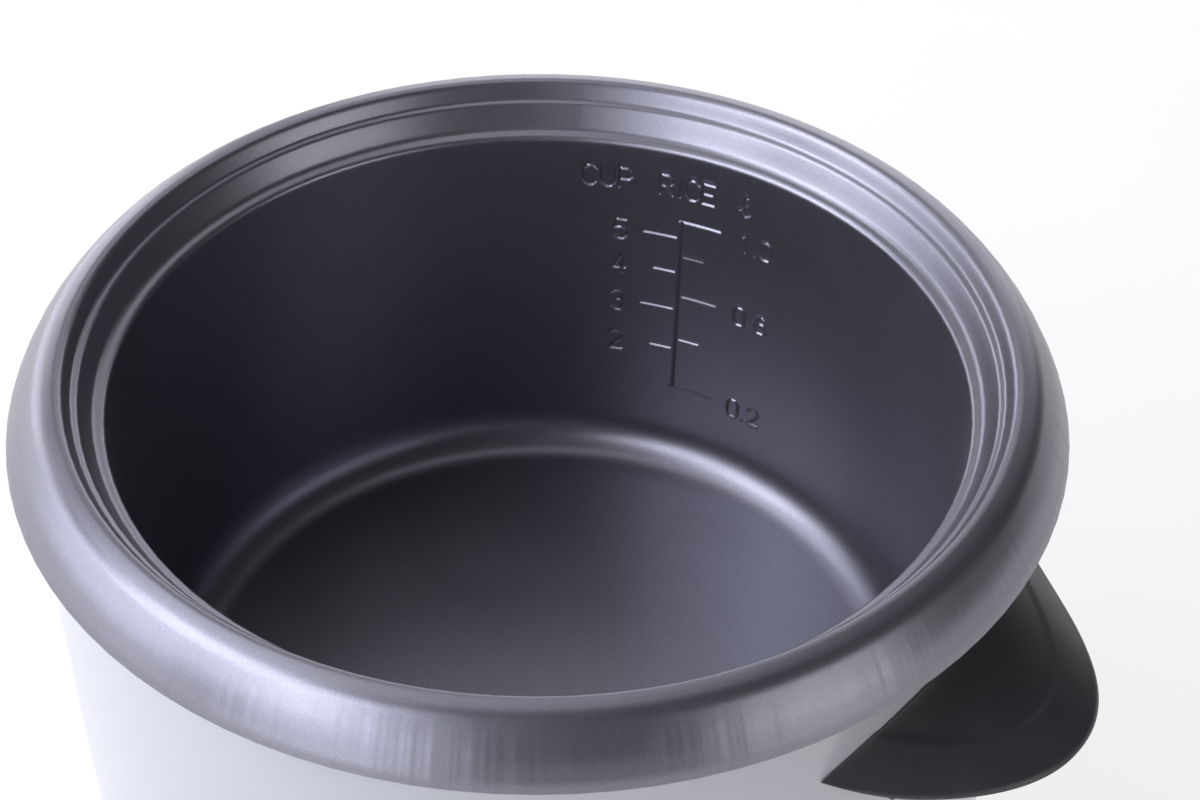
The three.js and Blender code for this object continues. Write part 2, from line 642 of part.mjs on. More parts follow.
// The paddle stands in front of the panel; its stem reaches in through the slot to the arm.
function cookPaddle(armFront) {
  const back = -(shellRadius(LEVER_Z) + FIT + PANEL_T + 1.8);
  const [w, h] = [PADDLE_W / 2, PADDLE_H / 2];
  const face = new THREE.Shape();
  face.moveTo(-w, -h + 3);
  face.absarc(-w + 3, -h + 3, 3, Math.PI, 1.5 * Math.PI);
  face.absarc(w - 3, -h + 3, 3, -Math.PI / 2, 0);
  face.absarc(w - 3, h - 3, 3, 0, Math.PI / 2);
  face.absarc(-w + 3, h - 3, 3, Math.PI / 2, Math.PI);
  const head = new THREE.ExtrudeGeometry(face, { depth: PADDLE_T, bevelEnabled: false, curveSegments: 3 });
  head.rotateX(Math.PI / 2).translate(0, back, LEVER_Z + 2);
  const stem = block(-STEM_W / 2, STEM_W / 2, back - 1, armFront + 10, LEVER_Z - STEM_H / 2, LEVER_Z + STEM_H / 2);
  const socketH = LEVER_T / 2 + FIT;
  const socketW = STEM_W / 2 - 1.2;
  const socket = block(-socketW, socketW, armFront - FIT, 0, LEVER_Z - socketH, LEVER_Z + socketH);
  return cut(join([head, stem]), [socket]);
}

function buildSwitch() {
  const group = assembly();
  const armFront = -(shellRadius(LEVER_Z) - SHELL_T - 3);
  add(group, 'switch_frame', switchFrame(), STEEL);
  add(group, 'frame_screw', screw(5), STEEL).position.set(0, FRAME_SCREW_Y, LINER_FLOOR + FIT);
  add(group, 'pivot_pin', crossPin(PIN_R, -FRAME_W - 3, FRAME_W + 3, PIVOT_Y, LEVER_Z), STEEL);

  const narrow = STEM_W / 2 - 1.2 - FIT;
  const full = LEVER_W;
  const shoulders = [-1, 1].map((side) => {
    const x = side * (narrow + full);
    return block(x - full, x + full, armFront - 1, armFront + 10 + FIT, LEVER_Z - 5, LEVER_Z + 5);
  });
  add(group, 'lever_arm', cut(leverArm(armFront), shoulders), STEEL);
  add(group, 'cook_paddle', cookPaddle(armFront), BLACK_PLASTIC);

  const half = FRAME_W - FIT;
  const plungerR = 1.5;
  const bodyBlock = block(-half, half, SWITCH_Y - 10, SWITCH_Y + 8, RIVET_Z - 3.5, SWITCH_TOP);
  const tools = [
    post(plungerR + FIT, 0, SWITCH_Y, SWITCH_TOP - 5, SWITCH_TOP + 5, SCREW_ROUND),
    crossPin(SCREW_R, -2 * half, 2 * half, SWITCH_Y - 5, RIVET_Z, SCREW_ROUND),
  ];
  add(group, 'micro_switch', cut(bodyBlock, tools), BLACK_PLASTIC);
  const plungerTop = LEVER_Z - LEVER_T / 2 - FREE;
  add(group, 'switch_plunger', post(plungerR, 0, SWITCH_Y, SWITCH_TOP - 3, plungerTop, SCREW_ROUND), CERAMIC);
  const rivet = crossPin(SCREW_R - FIT, -FRAME_W - 3, FRAME_W + 3, SWITCH_Y - 5, RIVET_Z, SCREW_ROUND);
  add(group, 'switch_rivet', rivet, STEEL);
}

// ---- front panel and lamps ----

function buildPanel() {
  const group = assembly();
  const plate = shellPlate(PANEL_W, PANEL_H, 7, PANEL_Z, PANEL_T);
  add(group, 'control_panel', cut(plate, [paddleSlot(), ...lampHoles()]), BLACK_PLASTIC);
  const face = shellRadius(LAMP_Z) + FIT + PANEL_T;
  const lamps = [['cook', -1, RED], ['warm', 1, AMBER]];
  for (const [name, side, colour] of lamps) {
    add(group, `lamp_lens_${name}`, radialPeg(LAMP_R, face - 9, face + 1.2, side * LAMP_ANGLE, LAMP_Z), colour);
    const bulb = radialPeg(LAMP_R - 0.8, face - 21, face - 9 - FIT, side * LAMP_ANGLE, LAMP_Z);
    add(group, `lamp_bulb_${name}`, bulb, GLASS);
  }
}

// ---- mains inlet and wiring ----

const PIN_X = 6;
const inletFace = shellRadius(INLET_Z) + FIT + PANEL_T;
const inletBack = inletFace - INLET_DEPTH - 3.5;

function buildInlet() {
  const group = assembly();
  const flange = shellPlate(INLET_W + 9, INLET_H + 7, 3, INLET_Z, PANEL_T).rotateZ(Math.PI);
  const [w, h] = [INLET_W / 2, INLET_H / 2];
  const body = block(-w, w, inletBack, inletFace - 1.2, INLET_Z - h, INLET_Z + h);
  const wall = 1.6;
  const pocket = block(
    wall - w, w - wall, inletFace - INLET_DEPTH, 2 * SHELL_R,
    INLET_Z - h + wall, INLET_Z + h - wall,
  );
  const pinAt = (side, grow, y0, y1) => block(
    side * PIN_X - 1 - grow, side * PIN_X + 1 + grow, y0, y1,
    INLET_Z - 3 - grow, INLET_Z + 3 + grow,
  );
  const slots = [-1, 1].map((side) => pinAt(side, FIT, inletBack - 5, inletFace));
  add(group, 'inlet_socket', cut(join([flange, body]), [pocket, ...slots]), BLACK_PLASTIC);
  [-1, 1].forEach((side, i) => {
    add(group, `inlet_pin_${i + 1}`, pinAt(side, 0, inletBack - 8, inletFace - 5), BRASS);
  });
}

function buildWiring() {
  const group = assembly();
  const blockY = LEVER_ARM - 5;
  const body = block(-16, 16, blockY, blockY + 14, BASE_TOP + FIT, BASE_TOP + 11);
  const screws = [-9, 0, 9].map((x) => post(2.4, x, blockY + 7, BASE_TOP + 7, BASE_TOP + 20, SCREW_ROUND));
  add(group, 'terminal_block', cut(body, screws), CERAMIC);
  const warmY = 44;
  const warm = join([post(8, -38, warmY, LINER_Z - 5, LINER_Z - FIT), post(5.5, -38, warmY, LINER_Z - 10, LINER_Z - 4)]);
  add(group, 'keep_warm_thermostat', warm, CERAMIC);
  add(group, 'thermal_fuse', crossPin(2.2, 30, 50, warmY, LINER_Z - FIT - 2.2, SCREW_ROUND), WIRE_SLEEVE);
  [-1, 1].forEach((side, i) => {
    const start = new THREE.Vector3(side * PIN_X, inletBack - 8 - FIT, INLET_Z);
    const end = new THREE.Vector3(side * 15, 34, PLATE_Z - 2 * FIT - 17);
    const route = new THREE.CatmullRomCurve3([
      start,
      new THREE.Vector3(side * 8, start.y - 10, INLET_Z),
      new THREE.Vector3(side * 14, start.y - 18, INLET_Z + 4),
      new THREE.Vector3(side * 18, 46, 40),
      new THREE.Vector3(side * 15, 36, end.z - 8),
      end,
    ]);
    add(group, `wire_${i + 1}`, wire(route, 1.4, 18, 2), WIRE_SLEEVE);
  });
}

buildPot();
buildCase();
buildHandles();
buildWell();
buildThermostat();
buildSwitch();
buildPanel();
buildInlet();
buildWiring();

export default cooker;
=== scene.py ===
import json
import math

import bmesh
import bpy
import numpy as np
from mathutils import Matrix, Vector


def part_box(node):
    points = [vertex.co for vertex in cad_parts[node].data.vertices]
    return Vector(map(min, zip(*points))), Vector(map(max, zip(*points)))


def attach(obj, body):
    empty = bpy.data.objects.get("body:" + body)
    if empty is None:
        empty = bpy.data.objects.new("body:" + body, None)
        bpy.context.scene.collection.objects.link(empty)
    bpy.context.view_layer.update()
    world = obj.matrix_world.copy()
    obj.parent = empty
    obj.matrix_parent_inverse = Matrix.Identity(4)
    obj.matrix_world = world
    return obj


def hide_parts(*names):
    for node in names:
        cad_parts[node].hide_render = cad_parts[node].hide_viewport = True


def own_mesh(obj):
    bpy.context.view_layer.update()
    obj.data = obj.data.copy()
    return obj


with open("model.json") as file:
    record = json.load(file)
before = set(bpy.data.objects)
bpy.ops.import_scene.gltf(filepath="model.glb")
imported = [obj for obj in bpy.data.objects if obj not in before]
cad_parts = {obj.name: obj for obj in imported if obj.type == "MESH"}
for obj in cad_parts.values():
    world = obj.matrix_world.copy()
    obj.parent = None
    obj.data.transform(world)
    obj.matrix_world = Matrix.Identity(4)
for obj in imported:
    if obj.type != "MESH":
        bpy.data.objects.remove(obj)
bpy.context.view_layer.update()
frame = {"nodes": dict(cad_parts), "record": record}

MM = 0.001

# ---- sizes read from the frame, in millimetres ----
POT_LOW, POT_HIGH = (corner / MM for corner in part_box("inner_pot"))
SHELL_LOW, SHELL_HIGH = (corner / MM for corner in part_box("body_shell"))
RIM_R = POT_HIGH.x                       # rim's lower edge
RIM_REACH = 22.9
MOUTH_R = RIM_R - RIM_REACH
RIM_RISE = 11.5
MOUTH_Z = POT_HIGH.z - RIM_RISE
POT_WALL = 1.6
POT_DEPTH = MOUTH_Z - POT_LOW.z - POT_WALL
POT_DRAFT = 5.8
SHELL_R = SHELL_HIGH.x
SHELL_TAPER = 9.8
SHELL_Z = SHELL_LOW.z


def shell_radius(z):
    """Outside radius of the case at a height."""
    drop = (MOUTH_Z - z) / (MOUTH_Z - SHELL_Z)
    return SHELL_R - SHELL_TAPER * max(drop, 0) ** 1.7


# ---- camera ----

CAMERA_DEGREES = 36.5                    # to the right of the cooker's front


def turned(vector, axis, angle):
    return Matrix.Rotation(angle, 3, axis) @ vector


def build_camera():
    azimuth, height = math.radians(CAMERA_DEGREES), 0.7017
    pan, tilt, roll = -0.0199, -0.0035, 0.0033
    distance = 7.0865 * MOUTH_R * MM
    back = Vector((
        math.sin(azimuth) * math.cos(height),
        -math.cos(azimuth) * math.cos(height),
        math.sin(height),
    ))
    ahead = -back
    right = Vector((math.cos(azimuth), math.sin(azimuth), 0))
    up = right.cross(ahead)
    ahead, right = turned(ahead, up, pan), turned(right, up, pan)
    ahead, up = turned(ahead, right, tilt), turned(up, right, tilt)
    right, up = turned(right, ahead, roll), turned(up, ahead, roll)
    data = bpy.data.cameras.new("camera")
    data.sensor_width = 36
    data.lens = 91.5
    data.clip_start = 0.01
    camera = bpy.data.objects.new("camera", data)
    bpy.context.scene.collection.objects.link(camera)
    frame_axes = Matrix((right, up, -ahead)).transposed().to_4x4()
    middle = Vector((0, 0, MOUTH_Z * MM))
    camera.matrix_world = Matrix.Translation(middle + back * distance) @ frame_axes
    bpy.context.scene.camera = camera


build_camera()


# ---- shader node groups ----

def new_group(name, inputs, outputs):
    """A shader group: inputs are (name, default), outputs are (name, socket type)."""
    group = bpy.data.node_groups.new(name, "ShaderNodeTree")
    for label, default in inputs:
        socket = group.interface.new_socket(label, in_out="INPUT", socket_type="NodeSocketFloat")
        socket.default_value = default
    for label, kind in outputs:
        group.interface.new_socket(label, in_out="OUTPUT", socket_type=kind)
    enter = group.nodes.new("NodeGroupInput")
    leave = group.nodes.new("NodeGroupOutput")
    return group, enter, leave


def add_node(tree, kind, links=None, **settings):
    """A node with its settings; links maps an input to a value or to another node's output."""
    node = tree.nodes.new(kind)
    for key, value in settings.items():
        setattr(node, key, value)
    for key, value in (links or {}).items():
        if isinstance(value, bpy.types.NodeSocket):
            tree.links.new(value, node.inputs[key])
        else:
            node.inputs[key].default_value = value
    return node


def math_node(tree, operation, first, second=0.0, clamp=False):
    links = {0: first, 1: second}
    return add_node(tree, "ShaderNodeMath", links, operation=operation, use_clamp=clamp).outputs[0]


def flat_place(group):
    """A point's X, Y and Z, and its place on the XY plane, where Z is the cooker's axis."""
    place = add_node(group, "ShaderNodeTexCoord").outputs["Object"]
    parts = add_node(group, "ShaderNodeSeparateXYZ", {"Vector": place}).outputs
    flat = add_node(group, "ShaderNodeCombineXYZ", {"X": parts["X"], "Y": parts["Y"]})
    return parts, flat.outputs["Vector"]


def length_of(group, vector):
    return add_node(group, "ShaderNodeVectorMath", {0: vector}, operation="LENGTH").outputs["Value"]


def grain_group():
    """Even fine grain: a height for a Bump, and a value from 0 to 1."""
    group, enter, leave = new_group(
        "fine_grain", [("Scale", 1000.0), ("Detail", 2.0)],
        [("Height", "NodeSocketFloat"), ("Value", "NodeSocketFloat")],
    )
    place = add_node(group, "ShaderNodeTexCoord").outputs["Object"]
    noise = add_node(group, "ShaderNodeTexNoise", {
        "Vector": place, "Scale": enter.outputs["Scale"],
        "Detail": enter.outputs["Detail"], "Roughness": 0.6,
    })
    group.links.new(noise.outputs["Fac"], leave.inputs["Height"])
    spread = add_node(group, "ShaderNodeMapRange", {
        "Value": noise.outputs["Fac"], "From Min": 0.3, "From Max": 0.7,
    })
    group.links.new(spread.outputs["Result"], leave.inputs["Value"])
    return group


def flake_group():
    """Metal flakes in a coating: each cell has its own brightness and its own height value."""
    group, enter, leave = new_group(
        "metal_flakes", [("Scale", 2500.0), ("Amount", 0.3)],
        [("Value", "NodeSocketFloat"), ("Height", "NodeSocketFloat")],
    )
    place = add_node(group, "ShaderNodeTexCoord").outputs["Object"]
    cells = add_node(group, "ShaderNodeTexVoronoi", {"Vector": place, "Scale": enter.outputs["Scale"]})
    shade = add_node(group, "ShaderNodeSeparateColor", {"Color": cells.outputs["Color"]})
    bright = math_node(group, "POWER", shade.outputs["Red"], 3.0)
    value = math_node(group, "MULTIPLY", bright, enter.outputs["Amount"])
    group.links.new(value, leave.inputs["Value"])
    group.links.new(shade.outputs["Green"], leave.inputs["Height"])
    return group


def speck_group():
    """Sparse round specks, such as dust: 1 inside a speck."""
    group, enter, leave = new_group(
        "dust_specks", [("Scale", 90.0), ("Size", 0.035), ("Share", 0.4)], [("Mask", "NodeSocketFloat")],
    )
    place = add_node(group, "ShaderNodeTexCoord").outputs["Object"]
    cells = add_node(group, "ShaderNodeTexVoronoi", {"Vector": place, "Scale": enter.outputs["Scale"]})
    near = math_node(group, "LESS_THAN", cells.outputs["Distance"], enter.outputs["Size"])
    pick = add_node(group, "ShaderNodeSeparateColor", {"Color": cells.outputs["Color"]})
    kept = math_node(group, "LESS_THAN", pick.outputs["Blue"], enter.outputs["Share"])
    group.links.new(math_node(group, "MULTIPLY", near, kept), leave.inputs["Mask"])
    return group


def wear_group():
    """Edges and corners rubbed a little: 1 on a sharp convex edge."""
    group, enter, leave = new_group(
        "edge_rub", [("Width", 0.06), ("Strength", 0.5)], [("Mask", "NodeSocketFloat")],
    )
    pointed = add_node(group, "ShaderNodeNewGeometry").outputs["Pointiness"]
    top = math_node(group, "ADD", 0.5, enter.outputs["Width"])
    sharp = add_node(group, "ShaderNodeMapRange", {"Value": pointed, "From Min": 0.51, "From Max": top})
    place = add_node(group, "ShaderNodeTexCoord").outputs["Object"]
    noise = add_node(group, "ShaderNodeTexNoise", {"Vector": place, "Scale": 300.0, "Detail": 3.0})
    broken = math_node(group, "MULTIPLY", sharp.outputs["Result"], noise.outputs["Fac"])
    rubbed = math_node(group, "MULTIPLY", broken, enter.outputs["Strength"], clamp=True)
    group.links.new(rubbed, leave.inputs["Mask"])
    return group


def ring_group():
    """Fine turning marks round the Z axis."""
    group, enter, leave = new_group(
        "turning_rings", [("Pitch", 1500.0), ("Wander", 0.2)], [("Value", "NodeSocketFloat")],
    )
    parts, flat = flat_place(group)
    wander = math_node(group, "MULTIPLY", enter.outputs["Wander"], 40.0)
    line = add_node(group, "ShaderNodeCombineXYZ", {
        "X": math_node(group, "MULTIPLY", length_of(group, flat), enter.outputs["Pitch"]),
        "Y": math_node(group, "MULTIPLY", parts["Z"], enter.outputs["Pitch"]),
        "Z": math_node(group, "MULTIPLY", parts["X"], wander),
    })
    noise = add_node(group, "ShaderNodeTexNoise", {"Vector": line.outputs[0], "Scale": 1.0, "Detail": 3.0})
    group.links.new(noise.outputs["Fac"], leave.inputs["Value"])
    return group


def draw_group():
    """Drawing marks on the pot's skirt: soft upright streaks, from a start radius to a full one."""
    group, enter, leave = new_group(
        "draw_streaks", [("Count", 30.0), ("Start", 0.115), ("Full", 0.12)],
        [("Height", "NodeSocketFloat")],
    )
    _, flat = flat_place(group)
    outward = add_node(group, "ShaderNodeVectorMath", {0: flat}, operation="NORMALIZE")
    noise = add_node(group, "ShaderNodeTexNoise", {
        "Vector": outward.outputs["Vector"], "Scale": enter.outputs["Count"],
        "Detail": 2.0, "Roughness": 0.55,
    })
    skirt = add_node(group, "ShaderNodeMapRange", {
        "Value": length_of(group, flat),
        "From Min": enter.outputs["Start"], "From Max": enter.outputs["Full"],
    })
    height = math_node(group, "MULTIPLY", noise.outputs["Fac"], skirt.outputs["Result"])
    group.links.new(height, leave.inputs["Height"])
    return group


GRAIN = grain_group()
FLAKES = flake_group()
SPECKS = speck_group()
EDGE_RUB = wear_group()
RINGS = ring_group()
STREAKS = draw_group()


# ---- materials ----

class Finish:
    """A material with one Principled shader, and short calls for what its maker puts on it."""

    def __init__(self, name, colour, roughness, metallic=0.0):
        self.material = bpy.data.materials.new(name)
        self.material.use_nodes = True
        self.tree = self.material.node_tree
        self.shader = self.tree.nodes["Principled BSDF"]
        self.colour = (*colour, 1.0)
        self.shader.inputs["Base Color"].default_value = self.colour
        self.shader.inputs["Roughness"].default_value = roughness
        self.shader.inputs["Metallic"].default_value = metallic
        self.bump_in = None

    def group(self, tree, **values):
        node = self.tree.nodes.new("ShaderNodeGroup")
        node.node_tree = tree
        for key, value in values.items():
            node.inputs[key].default_value = value
        return node

    def tint(self, mask, colour):
        """Mixes another colour in where the mask says."""
        mix = add_node(self.tree, "ShaderNodeMix", {0: mask}, data_type="RGBA")
        before = self.shader.inputs["Base Color"]
        if before.is_linked:
            self.tree.links.new(before.links[0].from_socket, mix.inputs[6])
        else:
            mix.inputs[6].default_value = self.colour
        mix.inputs[7].default_value = (*colour, 1.0)
        self.tree.links.new(mix.outputs[2], before)

    def uneven(self, value, low, high):
        """Roughness runs from low to high with the value."""
        spread = add_node(self.tree, "ShaderNodeMapRange", {
            "Value": value, "To Min": low, "To Max": high,
        })
        self.tree.links.new(spread.outputs["Result"], self.shader.inputs["Roughness"])

    def bump(self, height, distance, strength=1.0):
        """Adds a bump, in metres, on top of the bumps before it."""
        node = add_node(self.tree, "ShaderNodeBump", {
            "Height": height, "Distance": distance, "Strength": strength,
        })
        if self.bump_in:
            self.tree.links.new(self.bump_in, node.inputs["Normal"])
        self.bump_in = node.outputs["Normal"]
        self.tree.links.new(self.bump_in, self.shader.inputs["Normal"])


def coated_aluminium():
    f = Finish("coated_aluminium", (0.215, 0.213, 0.25), 0.34, 0.9)
    flakes = f.group(FLAKES, Scale=3600.0, Amount=0.16)
    f.tint(flakes.outputs["Value"], (0.44, 0.44, 0.48))
    cloud = f.group(GRAIN, Scale=45.0, Detail=4.0)
    f.uneven(cloud.outputs["Value"], 0.33, 0.37)
    dust = f.group(SPECKS, Scale=85.0, Size=0.02, Share=0.12)
    f.tint(dust.outputs["Mask"], (0.85, 0.85, 0.85))
    f.bump(f.group(GRAIN, Scale=1700.0, Detail=2.0).outputs["Height"], 0.00002, 0.45)
    skirt_start, skirt_full = (MOUTH_R + 15) * MM, (MOUTH_R + 20) * MM
    streaks = f.group(STREAKS, Count=19.0, Start=skirt_start, Full=skirt_full)
    f.bump(streaks.outputs["Height"], 0.0003)
    return f.material


def white_paint():
    f = Finish("white_paint", (0.405, 0.41, 0.445), 0.3)
    f.shader.inputs["Coat Weight"].default_value = 0.4
    f.shader.inputs["Coat Roughness"].default_value = 0.12
    peel = f.group(GRAIN, Scale=350.0, Detail=1.0)
    f.bump(peel.outputs["Height"], 0.00002)
    cloud = f.group(GRAIN, Scale=30.0, Detail=3.0)
    f.uneven(cloud.outputs["Value"], 0.28, 0.34)
    dust = f.group(SPECKS, Scale=60.0, Size=0.02, Share=0.1)
    f.tint(dust.outputs["Mask"], (0.4, 0.4, 0.4))
    return f.material


def black_plastic():
    f = Finish("black_plastic", (0.023, 0.0215, 0.027), 0.44)
    f.shader.inputs["Specular IOR Level"].default_value = 0.65
    grain = f.group(GRAIN, Scale=2200.0, Detail=2.0)
    f.bump(grain.outputs["Height"], 0.00003, 0.8)
    cloud = f.group(GRAIN, Scale=60.0, Detail=4.0)
    f.uneven(cloud.outputs["Value"], 0.4, 0.5)
    rub = f.group(EDGE_RUB, Width=0.08, Strength=0.5)
    f.tint(rub.outputs["Mask"], (0.06, 0.06, 0.065))
    dust = f.group(SPECKS, Scale=120.0, Size=0.02, Share=0.15)
    f.tint(dust.outputs["Mask"], (0.3, 0.3, 0.3))
    return f.material


def turned_metal(name, colour, roughness, pitch):
    f = Finish(name, colour, roughness, 1.0)
    rings = f.group(RINGS, Pitch=pitch, Wander=0.3)
    f.uneven(rings.outputs["Value"], roughness - 0.08, roughness + 0.1)
    f.bump(rings.outputs["Value"], 0.00002, 0.5)
    cloud = f.group(GRAIN, Scale=70.0, Detail=5.0)
    f.tint(cloud.outputs["Value"], tuple(0.86 * c for c in colour))
    return f.material


def plated_steel():
    f = Finish("plated_steel", (0.55, 0.56, 0.58), 0.34, 1.0)
    spangle = f.group(FLAKES, Scale=170.0, Amount=0.8)
    f.tint(spangle.outputs["Value"], (0.42, 0.43, 0.46))
    f.uneven(f.group(GRAIN, Scale=90.0, Detail=4.0).outputs["Value"], 0.28, 0.42)
    f.bump(f.group(GRAIN, Scale=900.0, Detail=2.0).outputs["Height"], 0.00001)
    return f.material


def moulded(name, colour, roughness, grain, depth):
    """Ceramic, ferrite, brass or sleeve: one colour, clouded a little, with its own grain."""
    f = Finish(name, colour, roughness, 1.0 if name == "brass" else 0.0)
    texture = f.group(GRAIN, Scale=grain, Detail=3.0)
    f.bump(texture.outputs["Height"], depth)
    f.tint(texture.outputs["Value"], tuple(0.8 * c for c in colour))
    return f.material


def lens_plastic(name, colour):
    f = Finish(name, colour, 0.18)
    f.shader.inputs["Transmission Weight"].default_value = 0.55
    f.shader.inputs["IOR"].default_value = 1.5
    f.bump(f.group(GRAIN, Scale=500.0, Detail=1.0).outputs["Height"], 0.00002)
    return f.material


def lamp_glass():
    f = Finish("lamp_glass", (0.85, 0.87, 0.9), 0.06)
    f.shader.inputs["Transmission Weight"].default_value = 0.9
    f.bump(f.group(GRAIN, Scale=300.0, Detail=1.0).outputs["Height"], 0.00001)
    return f.material


FINISHES = {
    "coated_aluminium": coated_aluminium(),
    "white_paint": white_paint(),
    "black_plastic": black_plastic(),
    "aluminium": turned_metal("spun_aluminium", (0.72, 0.73, 0.75), 0.32, 1800.0),
    "steel": plated_steel(),
    "ferrite": moulded("ferrite", (0.035, 0.035, 0.037), 0.6, 1200.0, 0.00004),
    "ceramic": moulded("ceramic", (0.78, 0.74, 0.64), 0.5, 800.0, 0.00003),
    "brass": moulded("brass", (0.78, 0.58, 0.26), 0.3, 1500.0, 0.00001),
    "red_lens": lens_plastic("red_lens", (0.55, 0.02, 0.015)),
    "amber_lens": lens_plastic("amber_lens", (0.85, 0.3, 0.02)),
    "glass": lamp_glass(),
    "wire_sleeve": moulded("wire_sleeve", (0.72, 0.69, 0.62), 0.8, 1500.0, 0.0001),
}


# ---- mesh helpers; all of them take millimetres ----

def bend(before, corner, after, radius, steps=5):
    """Points of a soft corner: a short curve that leaves and joins its straight sides."""
    points = []
    into, out = before - corner, after - corner
    reach = min(radius, into.length * 0.48, out.length * 0.48)
    start, end = corner + into.normalized() * reach, corner + out.normalized() * reach
    for i in range(steps + 1):
        t = i / steps
        points.append(start * (1 - t) ** 2 + corner * 2 * t * (1 - t) + end * t ** 2)
    return points


def soften(corners, closed=False, steps=5):
    """An outline from (x, y, radius) corners."""
    spots = [Vector((x, y)) for x, y, _ in corners]
    count = len(corners)
    line = []
    for i, (_, _, radius) in enumerate(corners):
        if radius <= 0 or (not closed and i in (0, count - 1)):
            line.append(spots[i])
            continue
        line += bend(spots[i - 1], spots[i], spots[(i + 1) % count], radius, steps)
    return line


def spaced(line, longest):
    """The same line with no step longer than this."""
    out = [line[0]]
    for point in line[1:]:
        pieces = max(1, math.ceil((point - out[-1]).length / longest))
        start = out[-1].copy()
        out += [start.lerp(point, (i + 1) / pieces) for i in range(pieces)]
    return out


def new_object(name, bm, smooth_angle=35):
    bmesh.ops.recalc_face_normals(bm, faces=bm.faces)
    mesh = bpy.data.meshes.new(name)
    bm.to_mesh(mesh)
    bm.free()
    mesh.transform(Matrix.Scale(MM, 4))
    mesh.shade_smooth()
    mesh.set_sharp_from_angle(angle=math.radians(smooth_angle))
    piece = bpy.data.objects.new(name, mesh)
    bpy.context.scene.collection.objects.link(piece)
    return piece


def grid_faces(bm, rows, wrap_rows, wrap_columns):
    """Quads between rows of vertices. A row of one vertex is a pole."""
    last = len(rows) if wrap_rows else len(rows) - 1
    for i in range(last):
        low, high = rows[i], rows[(i + 1) % len(rows)]
        width = max(len(low), len(high))
        for j in range(width if wrap_columns else width - 1):
            k = (j + 1) % width
            corners = [low[j % len(low)], low[k % len(low)], high[k % len(high)], high[j % len(high)]]
            unique = list(dict.fromkeys(corners))
            if len(unique) > 2:
                bm.faces.new(unique)


def turn(bm, outline, angles, relief=None, closed=True):
    """Turns an (r, z) outline about Z through the given angles. relief(angle, r, z) is added to r."""
    rows = []
    for r, z in outline:
        if r < 1e-6:
            rows.append([bm.verts.new((0, 0, z))])
            continue
        row = []
        for angle in angles:
            out = r + (relief(angle, r, z) if relief else 0)
            row.append(bm.verts.new((out * math.cos(angle), out * math.sin(angle), z)))
        rows.append(row)
    grid_faces(bm, rows, closed, True)


def even_angles(count):
    return [2 * math.pi * i / count for i in range(count)]


def loft(bm, sections, cap=True):
    """A skin through closed loops of points, with its ends closed."""
    rows = [[bm.verts.new(point) for point in section] for section in sections]
    grid_faces(bm, rows, False, True)
    if cap:
        bm.faces.new(rows[0])
        bm.faces.new(list(reversed(rows[-1])))


def place_piece(piece, body, slot, *nodes):
    """Gives a piece its finish, body and the CAD nodes that it stands for."""
    piece.data.materials.clear()
    piece.data.materials.append(FINISHES[slot])
    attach(piece, body)
    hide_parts(*nodes)
    return piece


def carve(piece, cutter):
    """Cuts one mesh out of another for good."""
    step = piece.modifiers.new("cut", "BOOLEAN")
    step.operation = "DIFFERENCE"
    step.solver = "EXACT"
    step.object = cutter
    bpy.context.view_layer.update()
    result = bpy.data.meshes.new_from_object(piece.evaluated_get(bpy.context.evaluated_depsgraph_get()))
    piece.modifiers.clear()
    old = piece.data
    piece.data = result
    bpy.data.meshes.remove(old)
    bpy.data.objects.remove(cutter)
    piece.data.shade_smooth()
    piece.data.set_sharp_from_angle(angle=math.radians(35))


def rounded_box(name, low, high, radius, segments=3):
    """A block with all its edges rounded."""
    bm = bmesh.new()
    bmesh.ops.create_cube(bm, size=1)
    for vert in bm.verts:
        for k in range(3):
            vert.co[k] = low[k] if vert.co[k] < 0 else high[k]
    if radius:
        bmesh.ops.bevel(
            bm, geom=bm.edges[:], offset=radius, segments=segments, affect="EDGES", profile=0.5,
        )
    return new_object(name, bm)


# ---- marks on the pot's wall ----

MARK_ANGLE = math.radians(104.2)         # where the scale's line stands
MARK_DEPTH = 0.42
MARK_HALF = 0.45                         # half the width of a mark at the surface
MARKS_TOP, MARKS_LOW = -5.5, -79.0       # no mark is above or below these, from the mouth
MARKS_ASIDE = 32.0                       # or further than this from the scale's line

